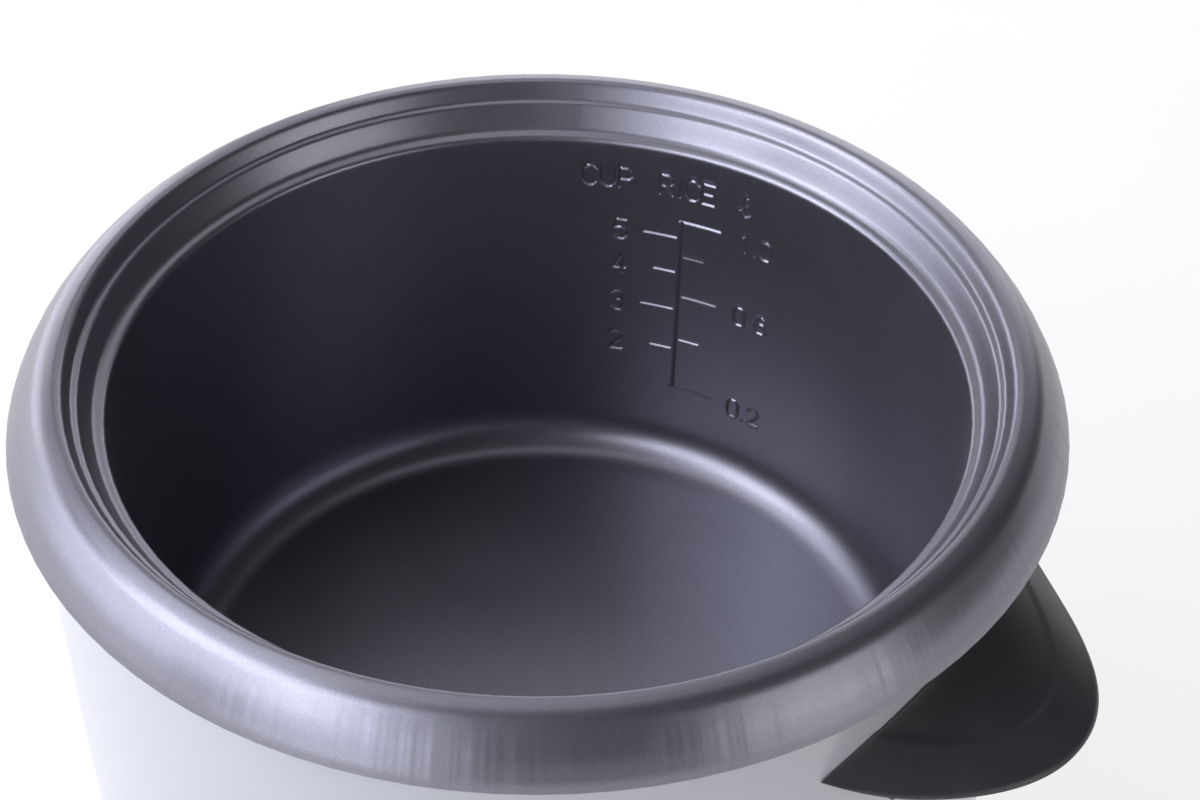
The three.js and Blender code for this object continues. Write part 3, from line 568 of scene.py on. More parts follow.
# Each sign is drawn as strokes in a box 1 wide and SIGN_BOX_H high, from its lower left corner.
SIGN_BOX_H = 1.6
SIGNS = {
    "0": [[(0.25, 0), (0, 0.35), (0, 1.25), (0.25, 1.6), (0.75, 1.6), (1, 1.25), (1, 0.35), (0.75, 0),
           (0.25, 0)]],
    "1": [[(0.3, 1.3), (0.6, 1.6), (0.6, 0)]],
    "2": [[(0, 1.25), (0.2, 1.55), (0.75, 1.55), (1, 1.2), (0.85, 0.85), (0, 0), (1, 0)]],
    "3": [[(0, 1.35), (0.3, 1.6), (0.75, 1.6), (1, 1.25), (0.75, 0.85), (0.4, 0.85)],
          [(0.75, 0.85), (1, 0.45), (0.75, 0), (0.3, 0), (0, 0.25)]],
    "4": [[(0.75, 0), (0.75, 1.6), (0, 0.45), (1, 0.45)]],
    "5": [[(0.95, 1.6), (0.1, 1.6), (0.05, 0.9), (0.6, 1.0), (1, 0.7), (1, 0.3), (0.7, 0), (0.3, 0),
           (0, 0.25)]],
    "6": [[(0.9, 1.4), (0.6, 1.6), (0.25, 1.4), (0, 0.8), (0, 0.35), (0.25, 0), (0.75, 0), (1, 0.3),
           (1, 0.6), (0.75, 0.9), (0.3, 0.85), (0, 0.55)]],
    "C": [[(1, 1.3), (0.7, 1.6), (0.3, 1.6), (0, 1.2), (0, 0.4), (0.3, 0), (0.7, 0), (1, 0.3)]],
    "U": [[(0, 1.6), (0, 0.35), (0.3, 0), (0.7, 0), (1, 0.35), (1, 1.6)]],
    "P": [[(0, 0), (0, 1.6), (0.7, 1.6), (1, 1.3), (1, 1.0), (0.7, 0.7), (0, 0.7)]],
    "R": [[(0, 0), (0, 1.6), (0.7, 1.6), (1, 1.3), (1, 1.0), (0.7, 0.75), (0, 0.75)],
          [(0.5, 0.75), (1, 0)]],
    "I": [[(0.5, 0), (0.5, 1.6)]],
    "E": [[(1, 1.6), (0, 1.6), (0, 0), (1, 0)], [(0, 0.8), (0.8, 0.8)]],
    "l": [[(0, 0.4), (0.7, 1.05), (0.85, 1.4), (0.6, 1.6), (0.35, 1.3), (0.35, 0.35), (0.55, 0),
           (0.9, 0.2)]],
    ".": [[(0, 0), (0.05, 0)]],
}
SIGN_W = 3.5
SIGN_H = 6.0
NUMBER_H = 5.4                           # the litre numbers are a little smaller


def sign_strokes(sign, left, top, height=SIGN_H):
    across, up = SIGN_W * height / SIGN_H, height / SIGN_BOX_H
    bottom = top - height
    return [[(left + x * across, bottom + y * up) for x, y in stroke] for stroke in SIGNS[sign]]


def scale_strokes():
    """All marks as lines on the unrolled wall: x runs right from the scale's line, z from the mouth."""
    strokes = [[(-0.3, -20.5), (-0.3, -74.2)]]
    litres = {1.0: -20.5, 0.8: -31.2, 0.6: -44.0, 0.4: -58.0, 0.2: -74.1}
    for value, z in litres.items():
        long = value in (1.0, 0.6, 0.2)
        start = 0.5 if value in (0.8, 0.6, 0.4) else -1.2
        strokes.append([(start, z), (10.6 if long else 6.3, z)])
        if long:
            top, text = z + (2.2 if value < 1 else 1.9), f"{value:.1f}"
            for i, sign in enumerate(text):
                step = (0, 4.5, 6.4)[i]
                strokes += sign_strokes(sign, 16.0 + step, top, NUMBER_H)
    for cups, z in {5: -25.7, 4: -36.6, 3: -48.4, 2: -61.4}.items():
        long = cups in (5, 3)
        strokes.append([(-10.7 if long else -7.6, z), (-1.5, z)])
        strokes += sign_strokes(str(cups), -18.5, z + 2.7)
    headings = {"CUP": (-27.1, -22.3, -17.6), "RICE": (-6.7, -3.0, 0.4, 4.8), "l": (15.4,)}
    for word, lefts in headings.items():
        for sign, left in zip(word, lefts):
            strokes += sign_strokes(sign, left, -7.2)
    return strokes


def mark_reliefs():
    """A function of (angle, radius, z) that gives how deep a mark is pressed into the wall."""
    starts, ends = [], []
    for stroke in scale_strokes():
        for a, b in zip(stroke, stroke[1:]):
            starts.append(a)
            ends.append(b)
    starts, ends = np.array(starts), np.array(ends)
    runs = ends - starts
    lengths = np.maximum((runs ** 2).sum(1), 1e-9)

    def relief(angle, radius, z):
        up = z - MOUTH_Z
        if radius > MOUTH_R + 0.1 or not MARKS_LOW <= up <= MARKS_TOP:
            return 0
        x = (MARK_ANGLE - angle) * radius
        if abs(x) > MARKS_ASIDE:
            return 0
        point = np.array((x, up))
        t = np.clip(((point - starts) * runs).sum(1) / lengths, 0, 1)
        gap = np.sqrt(((starts + runs * t[:, None] - point) ** 2).sum(1)).min()
        if gap > MARK_HALF:
            return 0
        return MARK_DEPTH * 0.5 * (1 + math.cos(math.pi * gap / MARK_HALF))

    return relief


# ---- pot ----

def offset(corners, thickness):
    """The other face of a sheet, to the right of the line."""
    spots = [Vector((x, y)) for x, y, _ in corners]
    out = []
    for i, (_, _, radius) in enumerate(corners):
        before = (spots[i] - spots[i - 1]).normalized() if i else None
        after = (spots[i + 1] - spots[i]).normalized() if i + 1 < len(spots) else before
        before = before or after
        along = (before + after).normalized()
        reach = thickness / max(along.dot(after), 0.5)
        out.append((spots[i].x + along.y * reach, spots[i].y - along.x * reach, radius + thickness))
    return out


def pot_outline():
    """The sheet's outline, from the middle of the floor up to the rim and back underneath."""
    slope = POT_DRAFT / POT_DEPTH
    floor_z = MOUTH_Z - POT_DEPTH
    floor_r = MOUTH_R - POT_DRAFT
    fillet, fillet_steps = 11, 14
    line = [Vector((0, floor_z)), Vector((30, floor_z)), Vector((60, floor_z))]
    centre = Vector((floor_r + fillet * slope - fillet, floor_z + fillet))
    for i in range(fillet_steps + 1):
        angle = -math.pi / 2 + (math.pi / 2 - math.atan(slope)) * i / fillet_steps
        line.append(centre + fillet * Vector((math.cos(angle), math.sin(angle))))
    wall_low = line[-1]

    def wall(up):
        return Vector((MOUTH_R + up * slope, MOUTH_Z + up))

    rows_low, rows_high, row_step = -78.2, -6.6, 0.33
    line.append(wall_low.lerp(wall(rows_low), 0.5))
    rows = int((rows_high - rows_low) / row_step)
    line += [wall(rows_low + row_step * i) for i in range(rows + 1)]
    rim = [                              # out from the mouth, up from it, and the corner's radius
        (0, 0.35, 2.0), (2.8, 1.0, 1.2), (5.9, 6.8, 0.6), (7.3, 7.3, 0.6), (9.5, 11.85, 1.8),
        (14.9, 10.3, 2.2), (19.7, 3.9, 7), (22.3, -1.6, 3), (RIM_REACH, -3.6, 0),
    ]
    rim = [(MOUTH_R + out, MOUTH_Z + up, radius) for out, up, radius in rim]
    start = wall(rows_high)
    top = spaced(soften([(start.x, start.y, 0), *rim], steps=5), 1.6)
    under = [
        (0, floor_z, 0), (floor_r - 6, floor_z, 12), (floor_r + 0.3, floor_z + 6.0, 12),
        (start.x, start.y, 0), *rim,
    ]
    back = spaced(soften(offset(under, POT_WALL), steps=3), 12)
    return line + top[1:] + list(reversed(back))


def build_pot():
    half_sector, fine_step = 28.5 / MOUTH_R, 0.3 / MOUTH_R
    fine = np.arange(-half_sector, half_sector, fine_step)
    coarse = np.linspace(half_sector, 2 * math.pi - half_sector, 84)
    angles = [MARK_ANGLE + a for a in np.concatenate([fine, coarse[:-1]])]
    wrapped = [(a + math.pi) % (2 * math.pi) - math.pi for a in angles]
    outline = pot_outline()
    bm = bmesh.new()
    turn(bm, [(p.x, p.y) for p in outline], wrapped, relief=mark_reliefs(), closed=False)
    bmesh.ops.remove_doubles(bm, verts=bm.verts, dist=1e-5)
    return place_piece(new_object("coated_pot", bm, 60), "pot", "coated_aluminium", "inner_pot")


build_pot()


# ---- case ----

FIT = 0.3                                # gap between pieces that touch
SHELL_T = 1.0
SHELL_TOP = SHELL_HIGH.z
BASE_LOW, BASE_HIGH = (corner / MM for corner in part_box("base_plate"))


def thickened(line, thickness):
    """A closed outline of a sheet: the line, and the same line set off to its right."""
    off = []
    for i, point in enumerate(line):
        before = (point - line[i - 1]).normalized() if i else None
        after = (line[i + 1] - point).normalized() if i + 1 < len(line) else before
        along = ((before or after) + after).normalized()
        off.append(point + Vector((along.y, -along.x)) * thickness / max(along.dot(after), 0.6))
    return list(line) + list(reversed(off))


def quarter(centre_r, centre_z, radius, start, end, steps=8):
    """Points of an arc, by angles in degrees."""
    angles = [math.radians(start + (end - start) * i / steps) for i in range(steps + 1)]
    return [Vector((centre_r + radius * math.cos(a), centre_z + radius * math.sin(a))) for a in angles]


def box_cutter(low, high, radius=0.0, segments=4):
    return rounded_box("cutter", low, high, radius, segments)


def front_turn(degrees, z):
    """Takes the Z axis to the outward direction at this angle from the front."""
    spin = Matrix.Rotation(math.radians(degrees), 4, "Z") @ Matrix.Rotation(math.pi / 2, 4, "X")
    return Matrix.Translation((0, 0, z)) @ spin


def add_turned(bm, outline, matrix, count=32):
    """Adds a turned form about the matrix's Z axis; an outline that leaves the axis closes on itself."""
    fresh = bmesh.new()
    closed = outline[0][0] > 1e-6
    turn(fresh, outline, even_angles(count), closed=closed)
    fresh.transform(matrix)
    scratch = bpy.data.meshes.new("scratch")
    fresh.to_mesh(scratch)
    fresh.free()
    bm.from_mesh(scratch)
    bpy.data.meshes.remove(scratch)


def peg_cutter(radius, inner, outer, matrix):
    bm = bmesh.new()
    add_turned(bm, [(0, inner), (radius, inner), (radius, outer), (0, outer)], matrix)
    return new_object("cutter", bm)


LAMP_DEGREES = 11
LAMP_Z = 50.0
LAMP_R = 3.0
PANEL_LOW, PANEL_HIGH = (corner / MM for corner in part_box("control_panel"))
PADDLE_LOW, PADDLE_HIGH = (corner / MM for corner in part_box("cook_paddle"))
INLET_LOW, INLET_HIGH = (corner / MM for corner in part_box("inlet_socket"))
INLET_BODY_W, INLET_BODY_H = 27.0, 19.0  # the inlet's body, behind its flange
INLET_Z = (INLET_LOW.z + INLET_HIGH.z) / 2
PANEL_T = 2.5
SLOT_HALF = 5.5
SLOT_LOW, SLOT_HIGH = 23.6, 38.0


CUT_FROM, CUT_TO = 80, 140               # cutters for the case's wall start and end clear of it


def front_openings(piece):
    """The paddle's slot and the two lamp holes."""
    carve(piece, box_cutter((-SLOT_HALF, -CUT_TO, SLOT_LOW), (SLOT_HALF, -CUT_FROM, SLOT_HIGH), 1.0))
    for side in (-1, 1):
        lamp = front_turn(side * LAMP_DEGREES, LAMP_Z)
        carve(piece, peg_cutter(LAMP_R + FIT, CUT_FROM, CUT_TO, lamp))


def build_shell():
    flange, foot_corner, top_corner = 22.0, 5.0, SHELL_TOP - MOUTH_Z - 1
    bottom_r, top_hole_r = shell_radius(SHELL_Z), 109.4
    line = [Vector((bottom_r - flange, SHELL_Z)), Vector((bottom_r - foot_corner - 4, SHELL_Z))]
    line += quarter(bottom_r - foot_corner, SHELL_Z + foot_corner, foot_corner, -90, 0)
    rows = 30
    for i in range(1, rows + 1):
        z = SHELL_Z + foot_corner + (MOUTH_Z - SHELL_Z - foot_corner) * i / rows
        line.append(Vector((shell_radius(z), z)))
    line += quarter(SHELL_R - top_corner, SHELL_TOP - top_corner, top_corner, 0, 90)
    line.append(Vector((top_hole_r, SHELL_TOP)))
    outline = thickened(list(reversed(line)), SHELL_T)
    bm = bmesh.new()
    turn(bm, [(p.x, p.y) for p in outline], even_angles(176))
    shell = new_object("case_shell", bm)
    front_openings(shell)
    half_w, half_h = INLET_BODY_W / 2 + FIT, INLET_BODY_H / 2 + FIT
    low, high = (-half_w, CUT_FROM, INLET_Z - half_h), (half_w, CUT_TO, INLET_Z + half_h)
    carve(shell, box_cutter(low, high, 1.0))
    place_piece(shell, "case", "white_paint", "body_shell")


def build_base():
    radius, low, high = BASE_HIGH.x, BASE_LOW.z, BASE_HIGH.z
    rib, rib_r = 1.3, 76.0
    line = [Vector((0, high)), Vector((26, high))]
    line += [Vector((28, high - rib)), Vector((32, high - rib)), Vector((34, high))]
    line += [Vector((rib_r - 7, high)), Vector((rib_r - 5, high - rib))]
    line += [Vector((rib_r + 4, high - rib)), Vector((rib_r + 6, high)), Vector((radius - 0.6, high))]
    soft = soften([(p.x, p.y, 1.6) for p in line], steps=4)
    bm = bmesh.new()
    turn(bm, [(p.x, p.y) for p in thickened(soft, high - low)], even_angles(144), closed=False)
    bmesh.ops.remove_doubles(bm, verts=bm.verts, dist=1e-4)
    base = new_object("bottom_plate", bm)
    vents, vent_half, vent_from, vent_to = 12, 1.5, 36, 61
    for i in range(vents):
        slot = box_cutter((-vent_half, vent_from, 0), (vent_half, vent_to, 2 * high), 0)
        slot.data.transform(Matrix.Rotation(2 * math.pi * (i + 0.5) / vents, 4, "Z"))
        carve(base, slot)
    place_piece(base, "case", "steel", "base_plate")


def build_feet():
    """Each foot has a screw hole with a wide mouth for the head, and a groove round its side."""
    hole_r, mouth_r, mouth_top, groove = 2.2, 3.9, 4.5, 0.7
    for i in range(1, 5):
        low, high = (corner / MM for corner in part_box(f"foot_{i}"))
        middle, radius, top = (low + high) / 2, (high.x - low.x) / 2, high.z
        outline = soften([
            (hole_r, top, 0), (hole_r, mouth_top, 0.2), (mouth_r, mouth_top, 0.3), (mouth_r, 0, 0.5),
            (radius - 1, 0, 1.2), (radius, 4.0, 1.0), (radius, 5.4, 0.3), (radius - groove, 5.7, 0.3),
            (radius - groove, 6.4, 0.3), (radius, 6.7, 0.3), (radius, top, 0.5),
        ], closed=True, steps=4)
        bm = bmesh.new()
        turn(bm, [(p.x, p.y) for p in outline], even_angles(48))
        bm.transform(Matrix.Translation((middle.x, middle.y, 0)))
        place_piece(new_object(f"rubber_foot_{i}", bm), "case", "black_plastic", f"foot_{i}")


# ---- handles ----

WING_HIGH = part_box("handle_right")[1] / MM
WING_HALF = WING_HIGH.y
WING_REACH = WING_HIGH.x
WING_BULGE = 2.15                        # above 2, the outline is fuller than a parabola
WING_T = 2.6
WING_DROP = 30.0
CREASE_IN = 10.5                         # the wing's crease, in from its edge
CREASE_DEPTH = 0.4
CREASE_HALF = 0.6
BOSS_T = 16.0


def wing_root(t, z):
    return math.sqrt((shell_radius(z) + FIT) ** 2 - t ** 2)


def wing_edge(t):
    tip = math.sqrt(SHELL_R ** 2 - WING_HALF ** 2)
    return WING_REACH - (WING_REACH - tip) * abs(t / WING_HALF) ** WING_BULGE


def wing_arch(t):
    """Height of the wing's top where it meets the shell."""
    return MOUTH_Z - 12.4 - 12.6 * (t / WING_HALF) ** 2


def wing_section(t):
    """One slice of the wing across its width, as a closed loop of points."""
    columns = 44
    top, under = [], []
    near_tip = 1 - 0.75 * max(abs(t) / WING_HALF - 0.8, 0) / 0.2
    low_z = MOUTH_Z - WING_DROP + WING_T / 2
    edge_z = low_z + (wing_arch(WING_HALF) - low_z) * (t / WING_HALF) ** 8
    slope = 2 * (WING_REACH - wing_edge(WING_HALF)) * t / WING_HALF ** 2
    for i in range(columns + 1):
        v = i / columns
        z = wing_arch(t) + (edge_z - wing_arch(t)) * v ** 0.9
        root, edge = wing_root(t, z), wing_edge(t)
        x = root + (edge - root) * v
        inside = (edge - x) / math.sqrt(1 + slope ** 2)
        step = min(max((inside - CREASE_IN) / (2 * CREASE_HALF) + 0.5, 0), 1)
        dished = CREASE_DEPTH * step * step * (3 - 2 * step)
        thick = WING_T * (1 - 0.5 * v) * near_tip
        rounded = max(0.0, 1 - (edge - x) / 0.8)
        pinch = thick / 2 * (1 - math.sqrt(max(1 - rounded ** 2, 0))) * 0.92
        top.append((x, t, z - dished - pinch))
        under.append((x, t, z - thick + pinch * 0.9))
    return top + list(reversed(under))


def wing_saddle(t):
    """One slice of the pad that lies on the shell under the wing."""
    low, high = MOUTH_Z - WING_DROP - 14, wing_arch(t) - WING_T * 1.5
    rows = 14
    outer, inner = [], []
    for i in range(rows + 1):
        z = low + (high - low) * i / rows
        blend = max(0.0, 1 - (z - low) / 1.6)
        outer.append((wing_root(t, z) + WING_T - 1.1 * blend ** 2, t, z))
        inner.append((wing_root(t, z), t, z))
    return outer + list(reversed(inner))


def rows_to_ends(half, count):
    """Places along a width, closer together towards both ends."""
    return [half * math.sin(math.pi / 2 * (2 * i / count - 1)) for i in range(count + 1)]


def build_handle(name, turn_over):
    bm = bmesh.new()
    loft(bm, [wing_section(t) for t in rows_to_ends(WING_HALF - 0.05, 72)])
    loft(bm, [wing_saddle(t) for t in rows_to_ends(BOSS_T + 9, 24)])
    boss_z = MOUTH_Z - WING_DROP - 7
    start, boss_r = wing_root(BOSS_T, boss_z) + WING_T / 2, 4.2
    end = start + 9
    boss = soften([(0, end, 0), (boss_r, end, 0.8), (boss_r, start, 0), (0, start, 0)])
    outline = [(p.x, p.y) for p in boss]
    for side in (-1, 1):
        matrix = Matrix.Translation((0, side * BOSS_T, boss_z)) @ Matrix.Rotation(math.pi / 2, 4, "Y")
        add_turned(bm, outline, matrix)
    bm.transform(Matrix.Rotation(math.pi if turn_over else 0, 4, "Z"))
    place_piece(new_object(f"{name}_wing", bm, 50), "case", "black_plastic", f"handle_{name}")


# ---- front panel, lamps and cook paddle ----

def rounded_ring(width, height, radius, along=16, up=10, corner=6):
    """Points round a rectangle with round corners, the same number for any size."""
    radius = max(min(radius, width / 2 - 0.01, height / 2 - 0.01), 0.005)
    half_w, half_h = width / 2, height / 2
    ring = []
    sides = ((1, -1, up, 0), (1, 1, along, 90), (-1, 1, up, 180), (-1, -1, along, 270))
    for k, (sx, sz, count, start) in enumerate(sides):
        centre = Vector((sx * (half_w - radius), sz * (half_h - radius)))
        arc_points = [
            centre + radius * Vector((math.cos(math.radians(start - 90 + 90 * i / corner)),
                                      math.sin(math.radians(start - 90 + 90 * i / corner))))
            for i in range(corner + 1)
        ]
        nx, nz, _, _ = sides[(k + 1) % 4]
        after = Vector((nx * (half_w - radius), nz * (half_h - radius)))
        out = radius * Vector((math.cos(math.radians(start)), math.sin(math.radians(start))))
        ring += arc_points
        ring += [(centre + out).lerp(after + out, i / count) for i in range(1, count)]
    return ring


def plate_mesh(bm, width, height, radius, profile, fill_insets, place):
    """A plate from rings: profile holds (inset, depth) from its back edge to its face."""
    back_depth, face_depth = profile[0][1], profile[-1][1]
    full = [(inset, back_depth) for inset in reversed(fill_insets)]
    full += profile + [(inset, face_depth) for inset in fill_insets if inset > profile[-1][0]]
    rows = []
    for inset, depth in full:
        ring = rounded_ring(width - 2 * inset, height - 2 * inset, radius - inset)
        rows.append([bm.verts.new(place(p.x, p.y, depth)) for p in ring])
    grid_faces(bm, rows, False, True)
    bmesh.ops.remove_doubles(bm, verts=bm.verts, dist=0.03)


def on_front(middle_z):
    """Places a plate's point on the shell's front."""
    def place(x, up, depth):
        z = middle_z + up
        out = shell_radius(z) + FIT + depth
        return (x, -math.sqrt(out ** 2 - x ** 2), z)
    return place


PANEL_FACE = shell_radius(LAMP_Z) + FIT + PANEL_T


def build_panel():
    middle = (PANEL_LOW.z + PANEL_HIGH.z) / 2
    width, height = PANEL_HIGH.x - PANEL_LOW.x, PANEL_HIGH.z - PANEL_LOW.z
    t = PANEL_T
    profile = [
        (0.4, 0), (0, 0.3), (0, t - 0.9), (0.25, t - 0.35), (0.8, t), (2.0, t), (2.3, t - 0.1),
        (2.6, t - 0.5),
    ]
    fills = [4, 6, 8, 10, 12, 14, 16, 18, height / 2 - 0.01]
    bm = bmesh.new()
    plate_mesh(bm, width, height, 7, profile, fills, on_front(middle))
    panel = new_object("front_panel", bm)
    front_openings(panel)
    bm = bmesh.new()
    bm.from_mesh(panel.data)
    bm.transform(Matrix.Scale(1 / MM, 4))
    bezel = [(0.35, -1.2), (0.35, 0.1), (0.7, 0.35), (1.3, 0.2), (1.5, -1.2)]
    bezel = [(LAMP_R + out, PANEL_FACE + up) for out, up in bezel]
    for side in (-1, 1):
        add_turned(bm, bezel, front_turn(side * LAMP_DEGREES, LAMP_Z))
    bpy.data.objects.remove(panel)
    place_piece(new_object("front_panel", bm), "case", "black_plastic", "control_panel")


def build_lamps():
    for name, side, slot in (("cook", -1, "red_lens"), ("warm", 1, "amber_lens")):
        face, back = PANEL_FACE + 1.2, PANEL_FACE - 9
        dome = [math.radians(15 * i) for i in range(1, 7)]
        outline = [(0, face)] + [(LAMP_R * math.sin(a), face - 1.1 * (1 - math.cos(a))) for a in dome]
        outline += [(LAMP_R, back + 1), (LAMP_R - 0.6, back), (0, back)]
        bm = bmesh.new()
        add_turned(bm, outline, front_turn(side * LAMP_DEGREES, LAMP_Z), 40)
        place_piece(new_object(f"{name}_lens", bm), "case", slot, f"lamp_lens_{name}")
        low, bulb_r = PANEL_FACE - 21, 2.2
        glass = [
            (0, back - 0.4), (0.8, back - 0.7), (1.7, back - 1.8), (bulb_r, back - 3.5),
            (bulb_r, low + 2), (1.6, low), (0, low),
        ]
        bm = bmesh.new()
        add_turned(bm, glass, front_turn(side * LAMP_DEGREES, LAMP_Z), 32)
        place_piece(new_object(f"{name}_bulb", bm), "case", "glass", f"lamp_bulb_{name}")


def build_paddle():
    thick = 5.0
    face_y = PADDLE_LOW.y
    middle = (PADDLE_LOW.z + PADDLE_HIGH.z) / 2
    width, height = PADDLE_HIGH.x - PADDLE_LOW.x, PADDLE_HIGH.z - PADDLE_LOW.z
    profile = [
        (0.5, 0), (0, 0.5), (0, 3.9), (0.3, 4.7), (1.1, thick), (2.0, 4.95), (3.2, 4.5), (4.6, 4.1),
        (6.0, 3.95),
    ]
    bm = bmesh.new()
    plate_mesh(bm, width, height, 3, profile, [7.0, 7.8, height / 2 - 0.01],
               lambda x, up, depth: (x, face_y + thick - depth, middle + up))
    ridge = [(-0.2, 0), (0.15, 0.45), (0.6, 0.65)]
    for up in (-2.6, 0, 2.6):
        plate_mesh(bm, 12, 1.4, 0.7, ridge, [0.68],
                   lambda x, z, depth: (x, face_y + 1.2 - depth, middle + up + z))
    head = new_object("paddle_head", bm)
    stem_half, stem_wall = 5, 1.2
    stem_low, stem_high = (-stem_half, face_y + thick - 1, 30.5), (stem_half, PADDLE_HIGH.y, 37.5)
    stem = rounded_box("paddle_stem", stem_low, stem_high, 0.6)
    socket_half = stem_half - stem_wall
    carve(stem, box_cutter((-socket_half, -101.5, 32.7), (socket_half, 0, 35.3)))
    bm = bmesh.new()
    for part in (head, stem):
        bm.from_mesh(part.data)
        bpy.data.objects.remove(part)
    bm.transform(Matrix.Scale(1 / MM, 4))
    place_piece(new_object("cook_lever_paddle", bm), "lever", "black_plastic", "cook_paddle")


# ---- mains inlet ----

def build_inlet():
    width, height = INLET_HIGH.x - INLET_LOW.x, INLET_HIGH.z - INLET_LOW.z
    t = PANEL_T
    front = on_front(INLET_Z)

    def on_back(x, up, depth):
        x, y, z = front(x, up, depth)
        return (-x, -y, z)

    bm = bmesh.new()
    profile = [(0.3, 0), (0, 0.3), (0, t - 0.8), (0.25, t - 0.25), (0.8, t), (2.2, t), (2.4, t - 0.3)]
    plate_mesh(bm, width, height, 3, profile, [4, 6, 8, 10, 12, height / 2 - 0.01], on_back)
    flange = new_object("flange", bm)
    half_w, half_h, wall, pocket = INLET_BODY_W / 2, INLET_BODY_H / 2, 1.6, 16
    face = shell_radius(INLET_Z) + FIT + t
    low, high = (-half_w, INLET_LOW.y, INLET_Z - half_h), (half_w, face - 1.2, INLET_Z + half_h)
    body = rounded_box("body", low, high, 1.0)
    for part in (flange, body):
        pocket_low = (wall - half_w, face - pocket, INLET_Z - half_h + wall)
        pocket_high = (half_w - wall, 2 * face, INLET_Z + half_h - wall)
        carve(part, box_cutter(pocket_low, pocket_high, 1.2))
    bm = bmesh.new()
    for part in (flange, body):
        bm.from_mesh(part.data)
        bpy.data.objects.remove(part)
    bm.transform(Matrix.Scale(1 / MM, 4))
    place_piece(new_object("mains_inlet", bm), "case", "black_plastic", "inlet_socket")
    for i in (1, 2):
        low, high = (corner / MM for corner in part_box(f"inlet_pin_{i}"))
        place_piece(rounded_box(f"inlet_blade_{i}", low, high, 0.6), "case", "brass", f"inlet_pin_{i}")


# ---- well, heating plate and sensor ----

def build_well():
    low, high = (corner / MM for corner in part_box("well_liner"))
    hole_r, floor_r, corner, wall_r = 46.0, 104.2, 8.0, 108.2
    floor_z, thin = low.z + 0.7, 0.7
    line = [Vector((hole_r, floor_z)), Vector((70, floor_z)), Vector((90, floor_z))]
    line += quarter(floor_r - corner, floor_z + corner, corner, -90, 0)
    top = Vector((wall_r, high.z))
    line += [line[-1].lerp(top, 0.35), line[-1].lerp(top, 0.7), top + Vector((-0.03, -1.0))]
    line += [top + Vector((0.3, -0.3)), top + Vector((1.0, 0)), Vector((high.x, high.z))]
    bm = bmesh.new()
    turn(bm, [(p.x, p.y) for p in thickened(line, thin)], even_angles(144))
    place_piece(new_object("well", bm), "case", "aluminium", "well_liner")


def build_heating_plate():
    low, high = (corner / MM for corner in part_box("heating_plate"))
    radius, top, under = high.x, high.z, high.z - 10
    core = 20.5
    corners = [(core, under, 0.6), (core, top, 1.0)]
    for groove in (30, 42, 54, 66):
        corners += [(groove - 0.7, top, 0.2), (groove, top - 0.35, 0.3), (groove + 0.7, top, 0.2)]
    edge = 2.5
    corners += [(radius - edge, top, 2.0), (radius, top - edge, 2.0)]
    corners += [(radius, under + edge, 2.0), (radius - edge, under, 2.0)]
    corners += [(58, under, 1.0), (57, under + 1.5, 1.0), (40, under + 1.5, 1.0), (39, under, 1.0)]
    bm = bmesh.new()
    turn(bm, [(p.x, p.y) for p in soften(corners, closed=True, steps=3)], even_angles(128))
    foot_r, foot_at = 5, 60
    foot = [(0, under + 1, 0), (foot_r, under + 1, 0), (foot_r, low.z, 0.6), (0, low.z, 0)]
    foot = [(p.x, p.y) for p in soften(foot, steps=4)]
    for degrees in (90, 210, 330):
        at = Matrix.Rotation(math.radians(degrees), 4, "Z") @ Matrix.Translation((foot_at, 0, 0))
        add_turned(bm, foot, at)
    place_piece(new_object("cast_plate", bm), "case", "aluminium", "heating_plate")


def build_sensor_cap():
    low, high = (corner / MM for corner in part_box("sensor_cap"))
    radius, top = high.x, high.z
    line = [
        (0, top, 0), (5, top, 0.5), (5.6, top - 0.25, 0.3), (6.2, top, 0.5), (radius, top, 2.2),
        (radius, low.z, 0),
    ]
    bm = bmesh.new()
    turn(bm, [(p.x, p.y) for p in thickened(soften(line, steps=6), 1.0)], even_angles(96), closed=False)
    place_piece(new_object("thermostat_cap", bm), "sensor", "aluminium", "sensor_cap")


def coil_mesh(radius, low, high, turns, wire):
    """A wire wound about the Z axis, with closed end turns."""
    steps, sides, closed_end = int(turns * 28), 10, 0.8
    up = Vector((0, 0, 1))
    sections = []
    for i in range(steps + 1):
        angle = 2 * math.pi * turns * i / steps
        share = min(max((angle / (2 * math.pi) - closed_end) / (turns - 2 * closed_end), 0), 1)
        out = Vector((math.cos(angle), math.sin(angle), 0))
        middle = radius * out + (low + wire + (high - low - 2 * wire) * share) * up
        ring = [math.cos(b) * out + math.sin(b) * up for b in even_angles(sides)]
        sections.append([middle + wire * point for point in ring])
    bm = bmesh.new()
    loft(bm, sections)
    return bm


def build_springs():
    """Both springs, as wound coils of wire; slack is the gap that is left under a spring at rest."""
    for name, node, turns, body, joint, travel, slack, at_top in (
        ("sensor_coil", "sensor_spring", 5.5, "case", "sensor_travel", 1.5, 0.0, False),
        ("release_coil", "release_spring", 6.5, "sensor", "magnet_lift", 4.8, 1.4, True),
    ):
        low, high = (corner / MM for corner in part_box(node))
        wire, foot = 0.45, low.z + slack
        piece = new_object(name, coil_mesh(high.x - wire, foot, high.z, turns, wire), 60)
        place_piece(piece, body, "steel", node)
        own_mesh(piece)


# ---- screws ----

